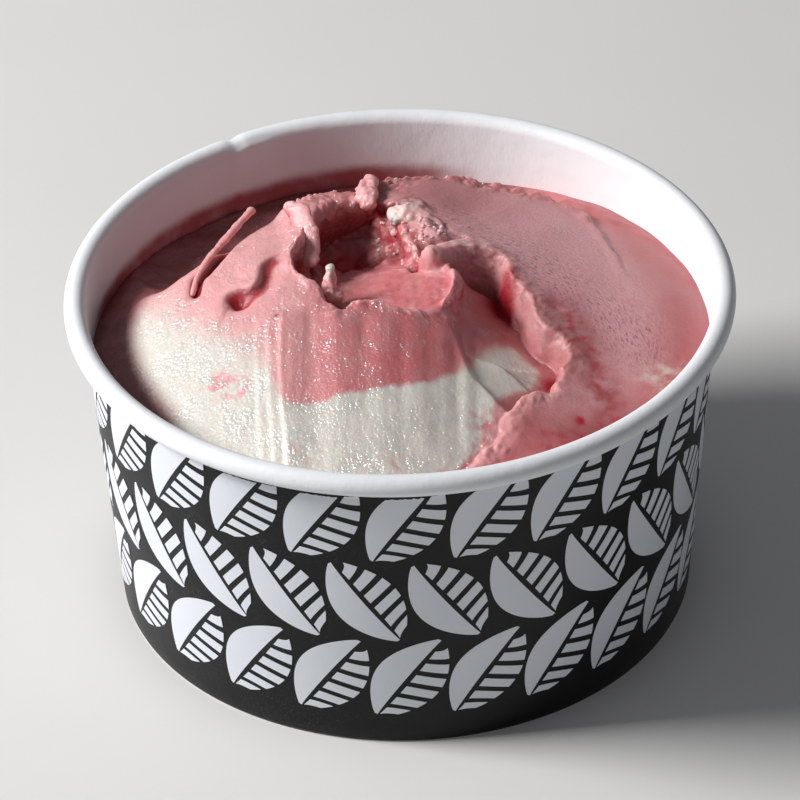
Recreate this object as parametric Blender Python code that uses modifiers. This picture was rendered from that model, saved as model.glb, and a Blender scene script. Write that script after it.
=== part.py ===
"""A paper ice cream cup filled with white and raspberry sorbet, at its real size.

The cup is a board wall, rolled outwards at the mouth and folded in round the base, and a dished
base. The sorbet is one spread and scraped mass of two flavours: its surface is a height for each
place in the cup, made from a dome, a swept layer, a crater, ridges and torn edges. Sizes are in
millimetres, turned into metres where an object is made. +Z is up, -Y is the front, and the origin
is the centre of the foot.
"""
import math

import bmesh
import bpy
import numpy as np
from mathutils import Vector, noise

MM = 0.001
MERGE_DISTANCE = 0.00001

# Cup
RIM_DIAMETER = 92.0
CUP_HEIGHT = 48.0
FOOT_DIAMETER = 80.2
BOARD = 0.5
CURL_DIAMETER = 3.0
CURL_TURN = math.radians(318)
FOLD_HEIGHT = 5.0
BASE_HEIGHT = 6.3
SKIRT_BOTTOM = 1.1
CLEARANCE = 0.3
ROUND_STEPS = 64
CURL_STEPS = 9
WALL_STEPS = 3
CUTTER_REACH = 60.0

# Sorbet
GRID_CELLS = 60
CONTACT_LEVEL = 40.0
# Height at which the sorbet meets the wall, by the angle round the cup from +X
WALL_CONTACT = ((0, 40), (45, 39.5), (75, 37.6), (100, 36.8), (130, 37), (180, 38.5), (270, 38.8), (315, 39.4))
DOME_CENTRE = (-12.0, 2.0)
DOME_TOP = 49.6
DOME_FLATNESS = 1.9
DOME_ROLL = 0.0065
CREASE_STEP = 0.55
SWEEP_CREST = (8.0, 8.0)
SWEEP_TOP = 49.0
SWEEP_FALL = 6.2
SWEEP_FALL_FROM = -6.0
SWEEP_FALL_TO = 34.0
SWEEP_CROWN = 0.0042
SWEEP_SHOULDER = 0.016
SWEEP_FLATNESS = 8
SWEEP_HOLLOW = (10.0, 23.0)
SWEEP_HOLLOW_RADIUS = 7.0
SWEEP_HOLLOW_DEPTH = 1.3
# Depth of the valley beside the sweep's torn edge, by the share of the way along that edge
VALLEY_DEPTH = ((0, 0), (0.28, 3.4), (0.39, 5.4), (0.5, 4.4), (0.61, 3.4), (0.7, 2), (0.79, 0.6), (1, 0))
CRATER_SHELF = 45.6
CRATER_SLOPE = (0.16, -0.13)
CRATER_PIT = (-6.0, 18.0)
CRATER_PIT_DEPTH = 4.2
CRATER_PIT_RADIUS = 5.4
CRATER_LUMPS = 1.6
SPIKE = (-9.9, -1.3)
SPIKE_RADIUS = 1.1
SPIKE_HEIGHT = 3.0
NOTCH = (-21.4, -3.4)
NOTCH_RADIUS = 1.3
NOTCH_DEPTH = 2.0
FLUTES = 0.22

# Lines seen from above, each with its higher side on the left of its direction
SWEEP_EDGE = (
    (-4, 40), (-2.6, 34), (-3.6, 28.5), (-3, 24.8), (-1.2, 21.5), (0.6, 18.5), (2.4, 15), (3.6, 12), (3.2, 9),
    (3.9, 6.9), (5.4, 6.7), (7.9, 8.3), (10.6, 9.2), (12.8, 8.9), (13.9, 7.4), (14.3, 4.3), (15.5, 2.8), (16, 1.2),
    (17, 0.2), (17.2, -1.9), (17.8, -3.9), (19, -6.1), (20.3, -7), (21.4, -8.6), (22, -10.4), (20.9, -12.6),
    (21, -14.1), (20, -15.4), (19.9, -17), (18.8, -17.2), (17, -18.1), (15.5, -19.2), (14.4, -21.1), (13.4, -23.6),
    (12.6, -26.4), (11.2, -28.1), (9.3, -30.5), (7.9, -32.6), (5.6, -35), (4, -37.4), (2.5, -48),
)
VALLEY_CREASE = (
    (7.4, 8), (8.6, 4.8), (8.4, 1), (7, -3), (6.6, -5.6), (7.2, -8), (9, -14.7), (10.8, -17.3), (12.8, -20.3), (15, -22.6),
)
BACK_EDGE = (
    (32, 4), (31.4, 12), (29.6, 18), (27.4, 24.6), (24.2, 30), (18.9, 33), (12, 33.4), (4.8, 33), (0.6, 31.4),
    (-3.7, 29.2), (-9.5, 27), (-13.6, 25), (-16.6, 22.2), (-18.4, 19.4), (-21, 16.6), (-24, 13.4), (-27, 10.4),
    (-30, 8.4), (-33, 6.8), (-38, 5.5),
)
CRATER_EDGE = (
    (-7.9, -6), (-9.3, -4.6), (-10.8, -1.4), (-12.4, 0.6), (-13.5, 2.2), (-13.9, 5.4), (-13, 8.6), (-12.5, 12),
    (-11.9, 16), (-9.8, 20.6), (-5.4, 23), (-1.4, 21.5), (0.2, 16), (1.6, 11), (3, 7.6), (5.6, 6.2), (7.4, 3.4),
    (7.3, 0), (6.4, -2.8), (5, -4.6), (2.1, -5), (-0.6, -5), (-2.9, -4.2), (-4.7, -4.6), (-6.6, -4.8), (-7.9, -6),
)
CRATER_LIP = ((5.4, -4.6), (6.8, -2.6), (7.7, 0.6), (7.8, 3.6), (6.4, 6.6))
FLAP = ((-2.6, 25.2), (-8, 25.4), (-12, 24), (-15.2, 20.8), (-14.8, 17), (-14, 12), (-13.6, 8), (-13.2, 4.2))
FLAKE = ((-28.2, -0.4), (-27.9, 4.4), (-26.8, 6.2), (-25.1, 9.4), (-23.3, 13), (-21.6, 15.4), (-20, 17.4))
TEAR_EDGE = ((-23.2, -3.6), (-22.7, -1.9), (-21.3, -1.4), (-20, -1.7), (-18.9, -1), (-18.4, 0.9), (-17.9, 4), (-16, 6))
# The line where the white flavour meets the raspberry, from the left wall round to the front wall
FLAVOUR_LINE = (
    (-48, 6), (-41, 4.6), (-34.8, 3.6), (-30.8, -1.4), (-26.6, -6.6), (-22.6, -9.8), (-19.4, -12.9), (-17.2, -17),
    (-15.8, -22.3), (-13.6, -23.3), (-10.3, -23), (-3.6, -21.3), (2.5, -19.1), (5.4, -17.6), (8, -14.6), (10.8, -9.6),
    (13.4, -5.6), (15.6, -4.9), (17.2, -7), (18.8, -9.8), (18.8, -12.8), (17.4, -15.4), (15, -17.2), (13.2, -19.6),
    (12.2, -22.8), (10.8, -26.6), (8.2, -31.4), (3.2, -35), (1, -40), (0.2, -48),
)


def remove_all():
    for obj in list(bpy.data.objects):
        bpy.data.objects.remove(obj)


def collection(name):
    made = bpy.data.collections.new(name)
    bpy.context.scene.collection.children.link(made)
    return made


def material(name, colour, roughness, metallic=0.0):
    made = bpy.data.materials.new(name)
    made.use_nodes = True
    shader = made.node_tree.nodes["Principled BSDF"]
    shader.inputs["Base Color"].default_value = (*colour, 1.0)
    shader.inputs["Roughness"].default_value = roughness
    shader.inputs["Metallic"].default_value = metallic
    return made


def curl_centre():
    """(radius, height) of the middle of the rolled rim."""
    return (RIM_DIAMETER - CURL_DIAMETER) / 2, CUP_HEIGHT - CURL_DIAMETER / 2


def wall_radius(z):
    """Radius of the middle of the wall's board at a height."""
    foot = (FOOT_DIAMETER - BOARD) / 2
    top = RIM_DIAMETER / 2 - CURL_DIAMETER + BOARD / 2
    return foot + (top - foot) * (z - BOARD / 2) / (curl_centre()[1] - BOARD / 2)


def fill_radius(z):
    """Radius of the sorbet's side at a height, clear of the wall."""
    return wall_radius(z) - BOARD / 2 - CLEARANCE


def turned(name, profile, into, finish):
    """A board shell: a profile of the board's middle, turned round +Z and thickened."""
    mesh = bpy.data.meshes.new(name)
    work = bmesh.new()
    points = [work.verts.new((r * MM, 0, z * MM)) for r, z in profile]
    for a, b in zip(points, points[1:]):
        work.edges.new((a, b))
    work.to_mesh(mesh)
    work.free()
    obj = bpy.data.objects.new(name, mesh)
    into.objects.link(obj)
    obj.data.materials.append(finish)
    turn = obj.modifiers.new("Turn", "SCREW")
    turn.steps = turn.render_steps = ROUND_STEPS
    turn.use_merge_vertices = True
    turn.merge_threshold = MERGE_DISTANCE
    shell = obj.modifiers.new("Board", "SOLIDIFY")
    shell.thickness = BOARD * MM
    shell.offset = 0
    shell.use_even_offset = True
    return obj


def cup_wall(into):
    """The wall, with the curl at its mouth and the fold round the base at its foot."""
    inset = 2 * (BOARD + CLEARANCE)
    foot = BOARD / 2
    profile = [(wall_radius(FOLD_HEIGHT) - inset, FOLD_HEIGHT), (wall_radius(foot) - inset, foot)]
    across, up = curl_centre()
    profile += [(wall_radius(z), z) for z in np.linspace(foot, up, WALL_STEPS + 1)[:-1]]
    curl = (CURL_DIAMETER - BOARD) / 2
    for turn in math.pi - np.linspace(0, CURL_TURN, CURL_STEPS + 1):
        profile.append((across + curl * math.cos(turn), up + curl * math.sin(turn)))
    return turned("cup_wall", profile, into, material("printed_board", (0.02, 0.02, 0.024), 0.45))


def cup_base(into):
    """The base, dished so that its skirt stands between the wall and the wall's fold."""
    inset = BOARD + CLEARANCE
    level = BASE_HEIGHT - BOARD / 2
    profile = [(0, level), (wall_radius(level) - inset, level), (wall_radius(SKIRT_BOTTOM) - inset, SKIRT_BOTTOM)]
    return turned("cup_base", profile, into, material("white_board", (0.85, 0.84, 0.82), 0.5))


def smooth_curve(points, samples=12):
    """A Catmull-Rom curve through the points."""
    p = np.array(points, float)
    p = np.vstack([2 * p[0] - p[1], p, 2 * p[-1] - p[-2]])
    t = np.linspace(0, 1, samples, endpoint=False)[:, None]
    spans = [
        0.5 * (2 * b + (c - a) * t + (2 * a - 5 * b + 4 * c - d) * t**2 + (3 * b - a - 3 * c + d) * t**3)
        for a, b, c, d in zip(p, p[1:], p[2:], p[3:])
    ]
    return np.vstack([*spans, p[-2:-1]])


def beside(xy, points):
    """Each place's distance from a curve (above 0 on its left), share of the way along, and way to the left."""
    line = smooth_curve(points)
    runs = np.diff(line, axis=0)
    lengths = np.linalg.norm(runs, axis=1)
    passed = np.concatenate([[0], np.cumsum(lengths)])
    nearest = np.full(len(xy), np.inf)
    side, share, left = np.zeros(len(xy)), np.zeros(len(xy)), np.zeros((len(xy), 2))
    for start, run, length, before in zip(line, runs, lengths, passed):
        along = np.clip((xy - start) @ run / length**2, 0, 1)
        away = xy - start - along[:, None] * run
        gap = np.linalg.norm(away, axis=1)
        near = gap < nearest
        to_left = np.array([-run[1], run[0]]) / length
        nearest[near] = gap[near]
        side[near] = np.where(away[near] @ to_left < 0, -1, 1)
        share[near] = (before + along[near] * length) / passed[-1]
        left[near] = to_left
    return nearest * side, share, left


def ease(low, high, value):
    """0 at low and 1 at high, with a smooth start and end."""
    t = np.clip((value - low) / (high - low), 0, 1)
    return t * t * (3 - 2 * t)


def bell(distance, width):
    return np.exp(-((distance / width) ** 2))


def rough(xy, size, seed):
    """Smooth noise from about -1 to 1 with features of a given size."""
    return np.array([noise.noise(Vector((x / size, y / size, seed))) for x, y in xy])


def contact_height(xy):
    angle = np.degrees(np.arctan2(xy[:, 1], xy[:, 0])) % 360
    turns, heights = zip(*WALL_CONTACT)
    return np.interp(angle, [*turns, 360], [*heights, heights[0]])


def reach_from(xy, centre):
    """How far each place is from a centre, as a share of the way to the wall."""
    away = xy - centre
    distance = np.linalg.norm(away, axis=1) + 1e-9
    along = (away / distance[:, None]) @ centre
    to_wall = np.sqrt(along**2 + fill_radius(CONTACT_LEVEL) ** 2 - np.dot(centre, centre)) - along
    return np.clip(distance / to_wall, 0, 1)


def scooped(xy):
    """The lower surface, at the front and left: a dome that leans to the left, and the valley beside the sweep."""
    low = contact_height(xy)
    z = low + (DOME_TOP - low) * (1 - reach_from(xy, np.array(DOME_CENTRE)) ** DOME_FLATNESS)
    z -= DOME_ROLL * np.clip(xy[:, 0] - DOME_CENTRE[0], 0, 22) ** 2
    from_sweep, along, _ = beside(xy, SWEEP_EDGE)
    from_crease, passed, _ = beside(xy, VALLEY_CREASE)
    across = np.clip(-from_sweep, 0, None)
    z -= CREASE_STEP * ease(-0.1, 0.6, from_crease) * ease(0, 0.2, passed) * ease(1, 0.9, passed) * ease(0, 4, across)
    share = across / (across + np.clip(from_crease, 0, None) + 1e-6)
    return z - np.interp(along, *zip(*VALLEY_DEPTH)) * (1 - share) * (from_crease > 0)


def swept(xy):
    """The upper surface, at the back and right: swept from its crest down to the wall on the right."""
    low = contact_height(xy)
    across, back = (xy - SWEEP_CREST).T
    top = SWEEP_TOP - SWEEP_FALL * ease(SWEEP_FALL_FROM, SWEEP_FALL_TO, xy[:, 0])
    top -= SWEEP_CROWN * back**2 + SWEEP_SHOULDER * np.clip(across, None, 0) ** 2
    top -= SWEEP_HOLLOW_DEPTH * bell(np.linalg.norm(xy - SWEEP_HOLLOW, axis=1), SWEEP_HOLLOW_RADIUS)
    reach = np.clip(np.linalg.norm(xy, axis=1) / fill_radius(CONTACT_LEVEL), 0, 1)
    return low + (top - low) * (1 - reach**SWEEP_FLATNESS)


def crater_floor(xy):
    pit = bell(np.linalg.norm(xy - CRATER_PIT, axis=1), CRATER_PIT_RADIUS)
    lumps = CRATER_LUMPS * np.abs(rough(xy, 2.6, 11)) * ease(7, 12, xy[:, 1])
    return CRATER_SHELF + xy @ CRATER_SLOPE - CRATER_PIT_DEPTH * pit + lumps


class Surface:
    """The sorbet's top while it is shaped: a height and a sideways move for each place in the cup."""

    def __init__(self, xy, z):
        self.xy = xy
        self.z = z
        self.move = np.zeros_like(xy)

    def bump(self, centre, radius, height):
        self.z += height * bell(np.linalg.norm(self.xy - centre, axis=1), radius)

    def ridge(self, line, width, heights, offset=0.0, uneven=0.0, seed=0):
        """Raises a ridge beside a line, or a groove with heights below 0, from its first height to its last."""
        distance, along, _ = beside(self.xy, line)
        ends = ease(0, 0.12, along) * ease(1, 0.96, along)
        height = heights[0] + (heights[1] - heights[0]) * along
        height = height * (1 + uneven * rough(self.xy, 2.6, seed))
        self.z += ends * height * bell(distance - offset, width)

    def torn_edge(self, line, left, right, width, lean, uneven, seed, share=1.0):
        """Joins two surfaces by a torn edge whose lip, on the line's left, leans out over its right."""
        distance, _, to_left = beside(self.xy, line)
        upper = ease(-0.8, 0.8, (distance + uneven * rough(self.xy, 3.6, seed)) / width)
        self.z += share * (left * upper + right * (1 - upper) - self.z)
        self.move -= (share * lean * bell(distance / width - 0.7, 0.8))[:, None] * to_left


def sorbet_surface(xy):
    """(x, y, z) of the sorbet's top for each place in a disc as wide as the cup, in millimetres."""
    top = Surface(xy, scooped(xy))
    x, y = xy.T
    scraped_face = ease(-17, -15.5, x) * ease(9, 7, x) * ease(-5, -8, y) * ease(-40, -20, y)
    top.z += scraped_face * FLUTES * (rough(xy * (1, 0.06), 2.6, 5) - 1)

    distance, along, _ = beside(xy, TEAR_EDGE)
    swell = top.z + 0.9 * bell(np.clip(distance, 0, None), 5)
    scar = top.z - 0.7 * bell(distance + 1.1, 1.2)
    fade = np.sin(np.pi * np.clip(along, 0.02, 0.98))
    top.torn_edge(TEAR_EDGE, swell, scar, width=0.7, lean=0.8, uneven=0.5, seed=31, share=np.sqrt(fade))
    top.bump(NOTCH, NOTCH_RADIUS, -NOTCH_DEPTH)

    top.ridge(CRATER_EDGE, 1.0, (0.6, 0.6), offset=0.9, uneven=0.9, seed=45)
    top.ridge(FLAP, 1.6, (1.0, 2.2), uneven=0.3, seed=2)
    top.torn_edge(CRATER_EDGE, top.z, crater_floor(xy), width=1.0, lean=0.6, uneven=0.6, seed=41)
    top.ridge(CRATER_LIP, 0.9, (1.0, 1.0))
    top.bump(SPIKE, SPIKE_RADIUS, SPIKE_HEIGHT)

    distance, _, _ = beside(xy, SWEEP_EDGE)
    lip = 0.5 * bell(distance - 1.2, 1.1)
    top.torn_edge(SWEEP_EDGE, swept(xy) + lip, top.z, width=1.1, lean=0.8, uneven=0.5, seed=51)

    distance, along, _ = beside(xy, BACK_EDGE)
    lip = bell(distance - 1.2, 1.2) * (0.4 + 0.5 * rough(xy, 2.6, 67)) * ease(0.72, 0.6, along) * ease(0, 0.3, along)
    gap = np.minimum(top.z, contact_height(xy) + 0.4 + 0.7 * rough(xy, 4, 65))
    gap = np.maximum(gap, top.z - np.interp(along, (0, 0.22, 0.36), (0.35, 0.7, 9)))
    full = ease(0, 0.06, along) * ease(1, 0.86, along)
    top.torn_edge(BACK_EDGE, top.z + lip, gap, width=1.2, lean=0.5, uneven=0.8, seed=61, share=full)
    top.ridge(FLAKE, 0.8, (0.6, 2.4), offset=0.5)
    top.ridge(FLAKE, 0.8, (-1.2, -1.2), offset=-0.8)

    radius = fill_radius(CONTACT_LEVEL)
    free = ease(1, 0.94, np.linalg.norm(xy, axis=1) / radius)
    z = top.z + 0.16 * rough(xy, 5.5, 71)
    return np.column_stack([(xy + top.move * free[:, None]) * (fill_radius(z) / radius)[:, None], z])


def disc_from_square(xy):
    """Presses the square from -1 to 1 into the unit disc."""
    x, y = xy.T
    return np.stack([x * np.sqrt(1 - y * y / 2), y * np.sqrt(1 - x * x / 2)], 1)


def guide(name, mesh, into):
    """An object that only shapes others, and isn't rendered."""
    obj = bpy.data.objects.new(name, mesh)
    into.objects.link(obj)
    obj.hide_render = True
    obj.display_type = "WIRE"
    return obj


def whole_sorbet(into):
    """The whole mass: a grid pressed into a disc and raised to the surface, closed by its side and floor."""
    work = bmesh.new()
    bmesh.ops.create_grid(work, x_segments=GRID_CELLS, y_segments=GRID_CELLS, size=1)
    flat = np.array([v.co[:2] for v in work.verts])
    surface = sorbet_surface(disc_from_square(flat) * fill_radius(CONTACT_LEVEL))
    for vert, place in zip(work.verts, surface):
        vert.co = place * MM
    side = bmesh.ops.extrude_edge_only(work, edges=[e for e in work.edges if e.is_boundary])["geom"]
    floor = BASE_HEIGHT + CLEARANCE
    for vert in (v for v in side if isinstance(v, bmesh.types.BMVert)):
        way = Vector((vert.co.x, vert.co.y)).normalized() * fill_radius(floor)
        vert.co = Vector((way.x, way.y, floor)) * MM
    bmesh.ops.contextual_create(work, geom=[e for e in side if isinstance(e, bmesh.types.BMEdge) and e.is_boundary])
    bmesh.ops.recalc_face_normals(work, faces=work.faces)
    mesh = bpy.data.meshes.new("sorbet")
    work.to_mesh(mesh)
    work.free()
    return guide("sorbet", mesh, into)


def flavour_cutter(name, into, grow):
    """A standing prism round the white flavour's place, grown by an amount on its curved side."""
    line = smooth_curve(FLAVOUR_LINE, samples=4)
    run = np.gradient(line, axis=0)
    left = np.stack([-run[:, 1], run[:, 0]], 1) / np.linalg.norm(run, axis=1)[:, None]
    outside = [(line[-1][0], -CUTTER_REACH), (-CUTTER_REACH, -CUTTER_REACH), (-CUTTER_REACH, line[0][1])]
    work = bmesh.new()
    outline = [work.verts.new((x * MM, y * MM, -CUP_HEIGHT * MM)) for x, y in [*(line + left * grow), *outside]]
    prism = bmesh.ops.extrude_face_region(work, geom=[work.faces.new(outline)])["geom"]
    raised = [v for v in prism if isinstance(v, bmesh.types.BMVert)]
    bmesh.ops.translate(work, verts=raised, vec=(0, 0, 3 * CUP_HEIGHT * MM))
    bmesh.ops.recalc_face_normals(work, faces=work.faces)
    mesh = bpy.data.meshes.new(name)
    work.to_mesh(mesh)
    work.free()
    return guide(name, mesh, into)


def flavour(name, whole, cutter, operation, into, finish):
    obj = bpy.data.objects.new(name, whole.data.copy())
    into.objects.link(obj)
    obj.data.materials.append(finish)
    cut = obj.modifiers.new("Flavour", "BOOLEAN")
    cut.operation = operation
    cut.object = cutter
    return obj


def main():
    remove_all()
    parts = collection("sorbet_cup")
    cutters = collection("cutters")
    for board in (cup_wall(parts), cup_base(parts)):
        board.data.shade_smooth()
    whole = whole_sorbet(cutters)
    inner = flavour_cutter("white_place", cutters, -CLEARANCE / 2)
    outer = flavour_cutter("white_place_and_gap", cutters, CLEARANCE / 2)
    flavour("white_sorbet", whole, inner, "INTERSECT", parts, material("white_flavour", (0.80, 0.76, 0.64), 0.35))
    flavour("raspberry_sorbet", whole, outer, "DIFFERENCE", parts, material("raspberry", (0.72, 0.22, 0.25), 0.4))


main()
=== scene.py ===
"""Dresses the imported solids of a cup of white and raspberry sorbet, and sets up its light and camera.

Shapes are worked out in millimetres and turned into metres where a mesh is made. +Z is up and -Y is
the front. The sorbet follows the same lines as the solids, with its finer relief on top.
"""
import math

import bpy
import numpy as np
from bpy.props import FloatProperty, FloatVectorProperty, IntProperty, PointerProperty
from mathutils import Matrix, Vector, kdtree, noise


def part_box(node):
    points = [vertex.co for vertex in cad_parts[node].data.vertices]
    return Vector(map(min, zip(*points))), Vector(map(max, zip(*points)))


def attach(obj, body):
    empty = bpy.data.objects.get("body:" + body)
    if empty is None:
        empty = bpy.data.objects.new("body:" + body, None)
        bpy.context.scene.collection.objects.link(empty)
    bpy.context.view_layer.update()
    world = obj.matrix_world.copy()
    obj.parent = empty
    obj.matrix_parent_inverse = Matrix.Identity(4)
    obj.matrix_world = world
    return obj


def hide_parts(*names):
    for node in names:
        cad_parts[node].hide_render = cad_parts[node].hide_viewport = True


bl_info = {
    "name": "Sorbet Cup",
    "version": (1, 0, 0),
    "blender": (4, 5, 0),
    "location": "View3D > Sidebar > Sorbet Cup",
    "description": "Models a printed paper cup filled with white and raspberry sorbet",
    "category": "Add Mesh",
}

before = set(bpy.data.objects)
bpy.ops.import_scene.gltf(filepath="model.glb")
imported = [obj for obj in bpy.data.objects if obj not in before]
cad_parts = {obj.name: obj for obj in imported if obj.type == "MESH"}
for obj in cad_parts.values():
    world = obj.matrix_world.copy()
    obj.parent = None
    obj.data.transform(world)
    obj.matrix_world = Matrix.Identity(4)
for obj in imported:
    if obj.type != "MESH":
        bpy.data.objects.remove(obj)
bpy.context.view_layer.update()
WALL_LOW, WALL_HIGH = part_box("cup_wall")
RIM_WIDTH = round(WALL_HIGH.x - WALL_LOW.x, 4)
RIM_HEIGHT = round(WALL_HIGH.z, 4)

MM = 0.001
BODY = "root"
ABOVE_SORBET = 0.06

# Cup, in millimetres
CURL_TURN = math.radians(318)
CURL_STEPS = 28
FOLD_HEIGHT = 5.0
FOLD_GAP = 0.3
WALL_STEPS = 26
ROUND_STEPS = 288
SEAM_ANGLE = math.radians(122)
SEAM_STEP = 0.22
RIM_NOTCH = 0.5
SORBET_FLOOR = 6.6
WALL_TOUCH = 0.06
CONTACT_LEVEL = 40.0
OUTER_FACE = 0.12
SLEEVE_LOW = 0.3
WALL_SHARP = math.radians(50)

# Sorbet, in millimetres, as in the solids
WALL_CONTACT = (
    (0, 40), (45, 39.5), (75, 37.6), (100, 36.8), (130, 37), (180, 38.5), (270, 38.8), (315, 39.4),
)
DOME_CENTRE = (-12.0, 2.0)
DOME_TOP = 49.6
DOME_FLATNESS = 1.9
DOME_ROLL = 0.0065
CREASE_STEP = 0.55
SWEEP_CREST = (8.0, 8.0)
SWEEP_TOP = 49.0
SWEEP_FALL = 6.2
SWEEP_FALL_FROM = -6.0
SWEEP_FALL_TO = 34.0
SWEEP_CROWN = 0.0042
SWEEP_SHOULDER = 0.016
SWEEP_FLATNESS = 8
SWEEP_TURN = (5.0, -12.0)
SWEEP_HOLLOW = (10.0, 23.0)
SWEEP_HOLLOW_RADIUS = 7.0
SWEEP_HOLLOW_DEPTH = 1.3
VALLEY_DEPTH = (
    (0, 0), (0.28, 3.4), (0.39, 5.4), (0.5, 4.4), (0.61, 3.4), (0.7, 2), (0.79, 0.6), (1, 0),
)
CRATER_SHELF = 45.6
CRATER_SLOPE = (0.16, -0.13)
CRATER_PIT = (-6.0, 18.0)
CRATER_PIT_DEPTH = 4.2
CRATER_PIT_RADIUS = 5.4
CRATER_LUMPS = 1.6
SPIKE = (-9.9, -1.3)
SPIKE_RADIUS = 1.1
SPIKE_HEIGHT = 0.6
NOTCH = (-21.4, -3.4)
NOTCH_RADIUS = 1.3
NOTCH_DEPTH = 1.5
FLUTES = 0.22
FACET_STEPS = ((0, 0.4), (-1.7, 0.22), (-3.2, 0.16))

# Lines seen from above, each with its higher side on the left of its direction
SWEEP_EDGE = (
    (-4, 40), (-2.6, 34), (-3.6, 28.5), (-3, 24.8), (-1.2, 21.5), (0.6, 18.5), (2.4, 15), (3.6, 12),
    (3.2, 9), (3.9, 6.9), (5.4, 6.7), (7.9, 8.3), (10.6, 9.2), (12.8, 8.9), (13.9, 7.4), (14.3, 4.3),
    (15.5, 2.8), (16, 1.2), (17, 0.2), (17.2, -1.9), (17.8, -3.9), (19, -6.1), (20.3, -7), (21.4, -8.6),
    (22, -10.4), (20.9, -12.6), (21, -14.1), (20, -15.4), (19.9, -17), (18.8, -17.2), (17, -18.1),
    (15.5, -19.2), (14.4, -21.1), (13.4, -23.6), (12.6, -26.4), (11.2, -28.1), (9.3, -30.5),
    (7.9, -32.6), (5.6, -35), (4, -37.4), (2.5, -48),
)
VALLEY_CREASE = (
    (7.4, 8), (8.6, 4.8), (8.4, 1), (7, -3), (6.6, -5.6), (7.2, -8), (9, -14.7), (10.8, -17.3),
    (12.8, -20.3), (15, -22.6),
)
BACK_EDGE = (
    (32, 4), (31.4, 12), (29.6, 18), (27.4, 24.6), (24.2, 30), (18.9, 33), (12, 33.4), (4.8, 33),
    (0.6, 31.4), (-3.7, 29.2), (-9.5, 27), (-13.6, 25), (-16.6, 22.2), (-18.4, 19.4), (-21, 16.6),
    (-24, 13.4), (-27, 10.4), (-30, 8.4), (-33, 6.8), (-38, 5.5),
)
CRATER_EDGE = (
    (-7.9, -6), (-9.3, -4.6), (-10.8, -1.4), (-12.4, 0.6), (-13.5, 2.2), (-13.9, 5.4), (-13, 8.6),
    (-12.5, 12), (-11.9, 16), (-9.8, 20.6), (-5.4, 23), (-1.4, 21.5), (0.2, 16), (1.6, 11), (3, 7.6),
    (5.6, 6.2), (7.4, 3.4), (7.3, 0), (6.4, -2.8), (5, -4.6), (2.1, -5), (-0.6, -5), (-2.9, -4.2),
    (-4.7, -4.6), (-6.6, -4.8), (-7.9, -6),
)
CRATER_LIP = ((5.4, -4.6), (6.8, -2.6), (7.7, 0.6), (7.8, 3.6), (6.4, 6.6))
CREVICE = ((1.5, 7.5), (3.3, 9.2), (4.8, 10.8), (6.9, 12.2), (9.5, 13.2))
FLAP = (
    (-2.6, 25.2), (-8, 25.4), (-12, 24), (-15.2, 20.8), (-14.8, 17), (-14, 12), (-13.6, 8),
    (-13.2, 4.2),
)
FLAKE = (
    (-28.2, -0.4), (-27.9, 4.4), (-26.8, 6.2), (-25.1, 9.4), (-23.3, 13), (-21.6, 15.4), (-20, 17.4),
)
TEAR_EDGE = (
    (-23.2, -3.6), (-22.7, -1.9), (-21.3, -1.4), (-20, -1.7), (-18.9, -1), (-18.4, 0.9), (-17.9, 4),
    (-16, 6),
)

# Torn edges: (share of the way along, value) pairs for the width of the face, how far its lip leans,
# how far it strays from its line, and how crumbly it is
TEAR = {"width": ((0, 0.5),), "lean": ((0, 0.7),), "uneven": ((0, 0.25),), "crumbly": ((0, 0.1),)}
CRATER_TEAR = {
    "width": ((0, 0.8),),
    "lean": ((0, 0.5), (0.2, 0.6), (0.36, 2.6), (0.5, 2.4), (0.6, 0.4)),
    "uneven": ((0, 0.5), (0.3, 0.4), (0.5, 0.8), (0.7, 0.5)),
    "crumbly": ((0, 0.7), (0.2, 0.3), (0.5, 0.6), (0.8, 0.7)),
}
SWEEP_TEAR = {
    "width": ((0, 2.4), (0.24, 2.4), (0.31, 1.3), (0.6, 1.3), (0.68, 0.9), (1, 0.9)),
    "lean": ((0, 0.3), (0.25, 0.4), (0.31, 0.5), (0.5, 0.5), (0.62, 0.6), (1, 0.7)),
    "uneven": ((0, 0.8), (0.26, 0.8), (0.31, 0.15), (0.68, 0.15), (0.75, 0.5)),
    "crumbly": ((0, 1.0), (0.28, 1.0), (0.32, 0.3), (0.4, 0.5), (0.66, 0.5), (0.7, 0.8), (1, 0.8)),
}
BACK_TEAR = {
    "width": ((0, 0.4), (0.24, 0.5), (0.34, 1.1), (0.66, 1.1), (0.74, 2.0), (1, 3.0)),
    "lean": ((0, 0.3), (0.3, 0.8), (0.68, 0.6), (0.74, 0)),
    "uneven": ((0, 0.5), (0.3, 1.2), (0.7, 1.0), (0.76, 0.3)),
    "crumbly": ((0, 0.1), (0.22, 0.2), (0.34, 0.7), (0.66, 0.7), (0.76, 0.1)),
}

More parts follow.
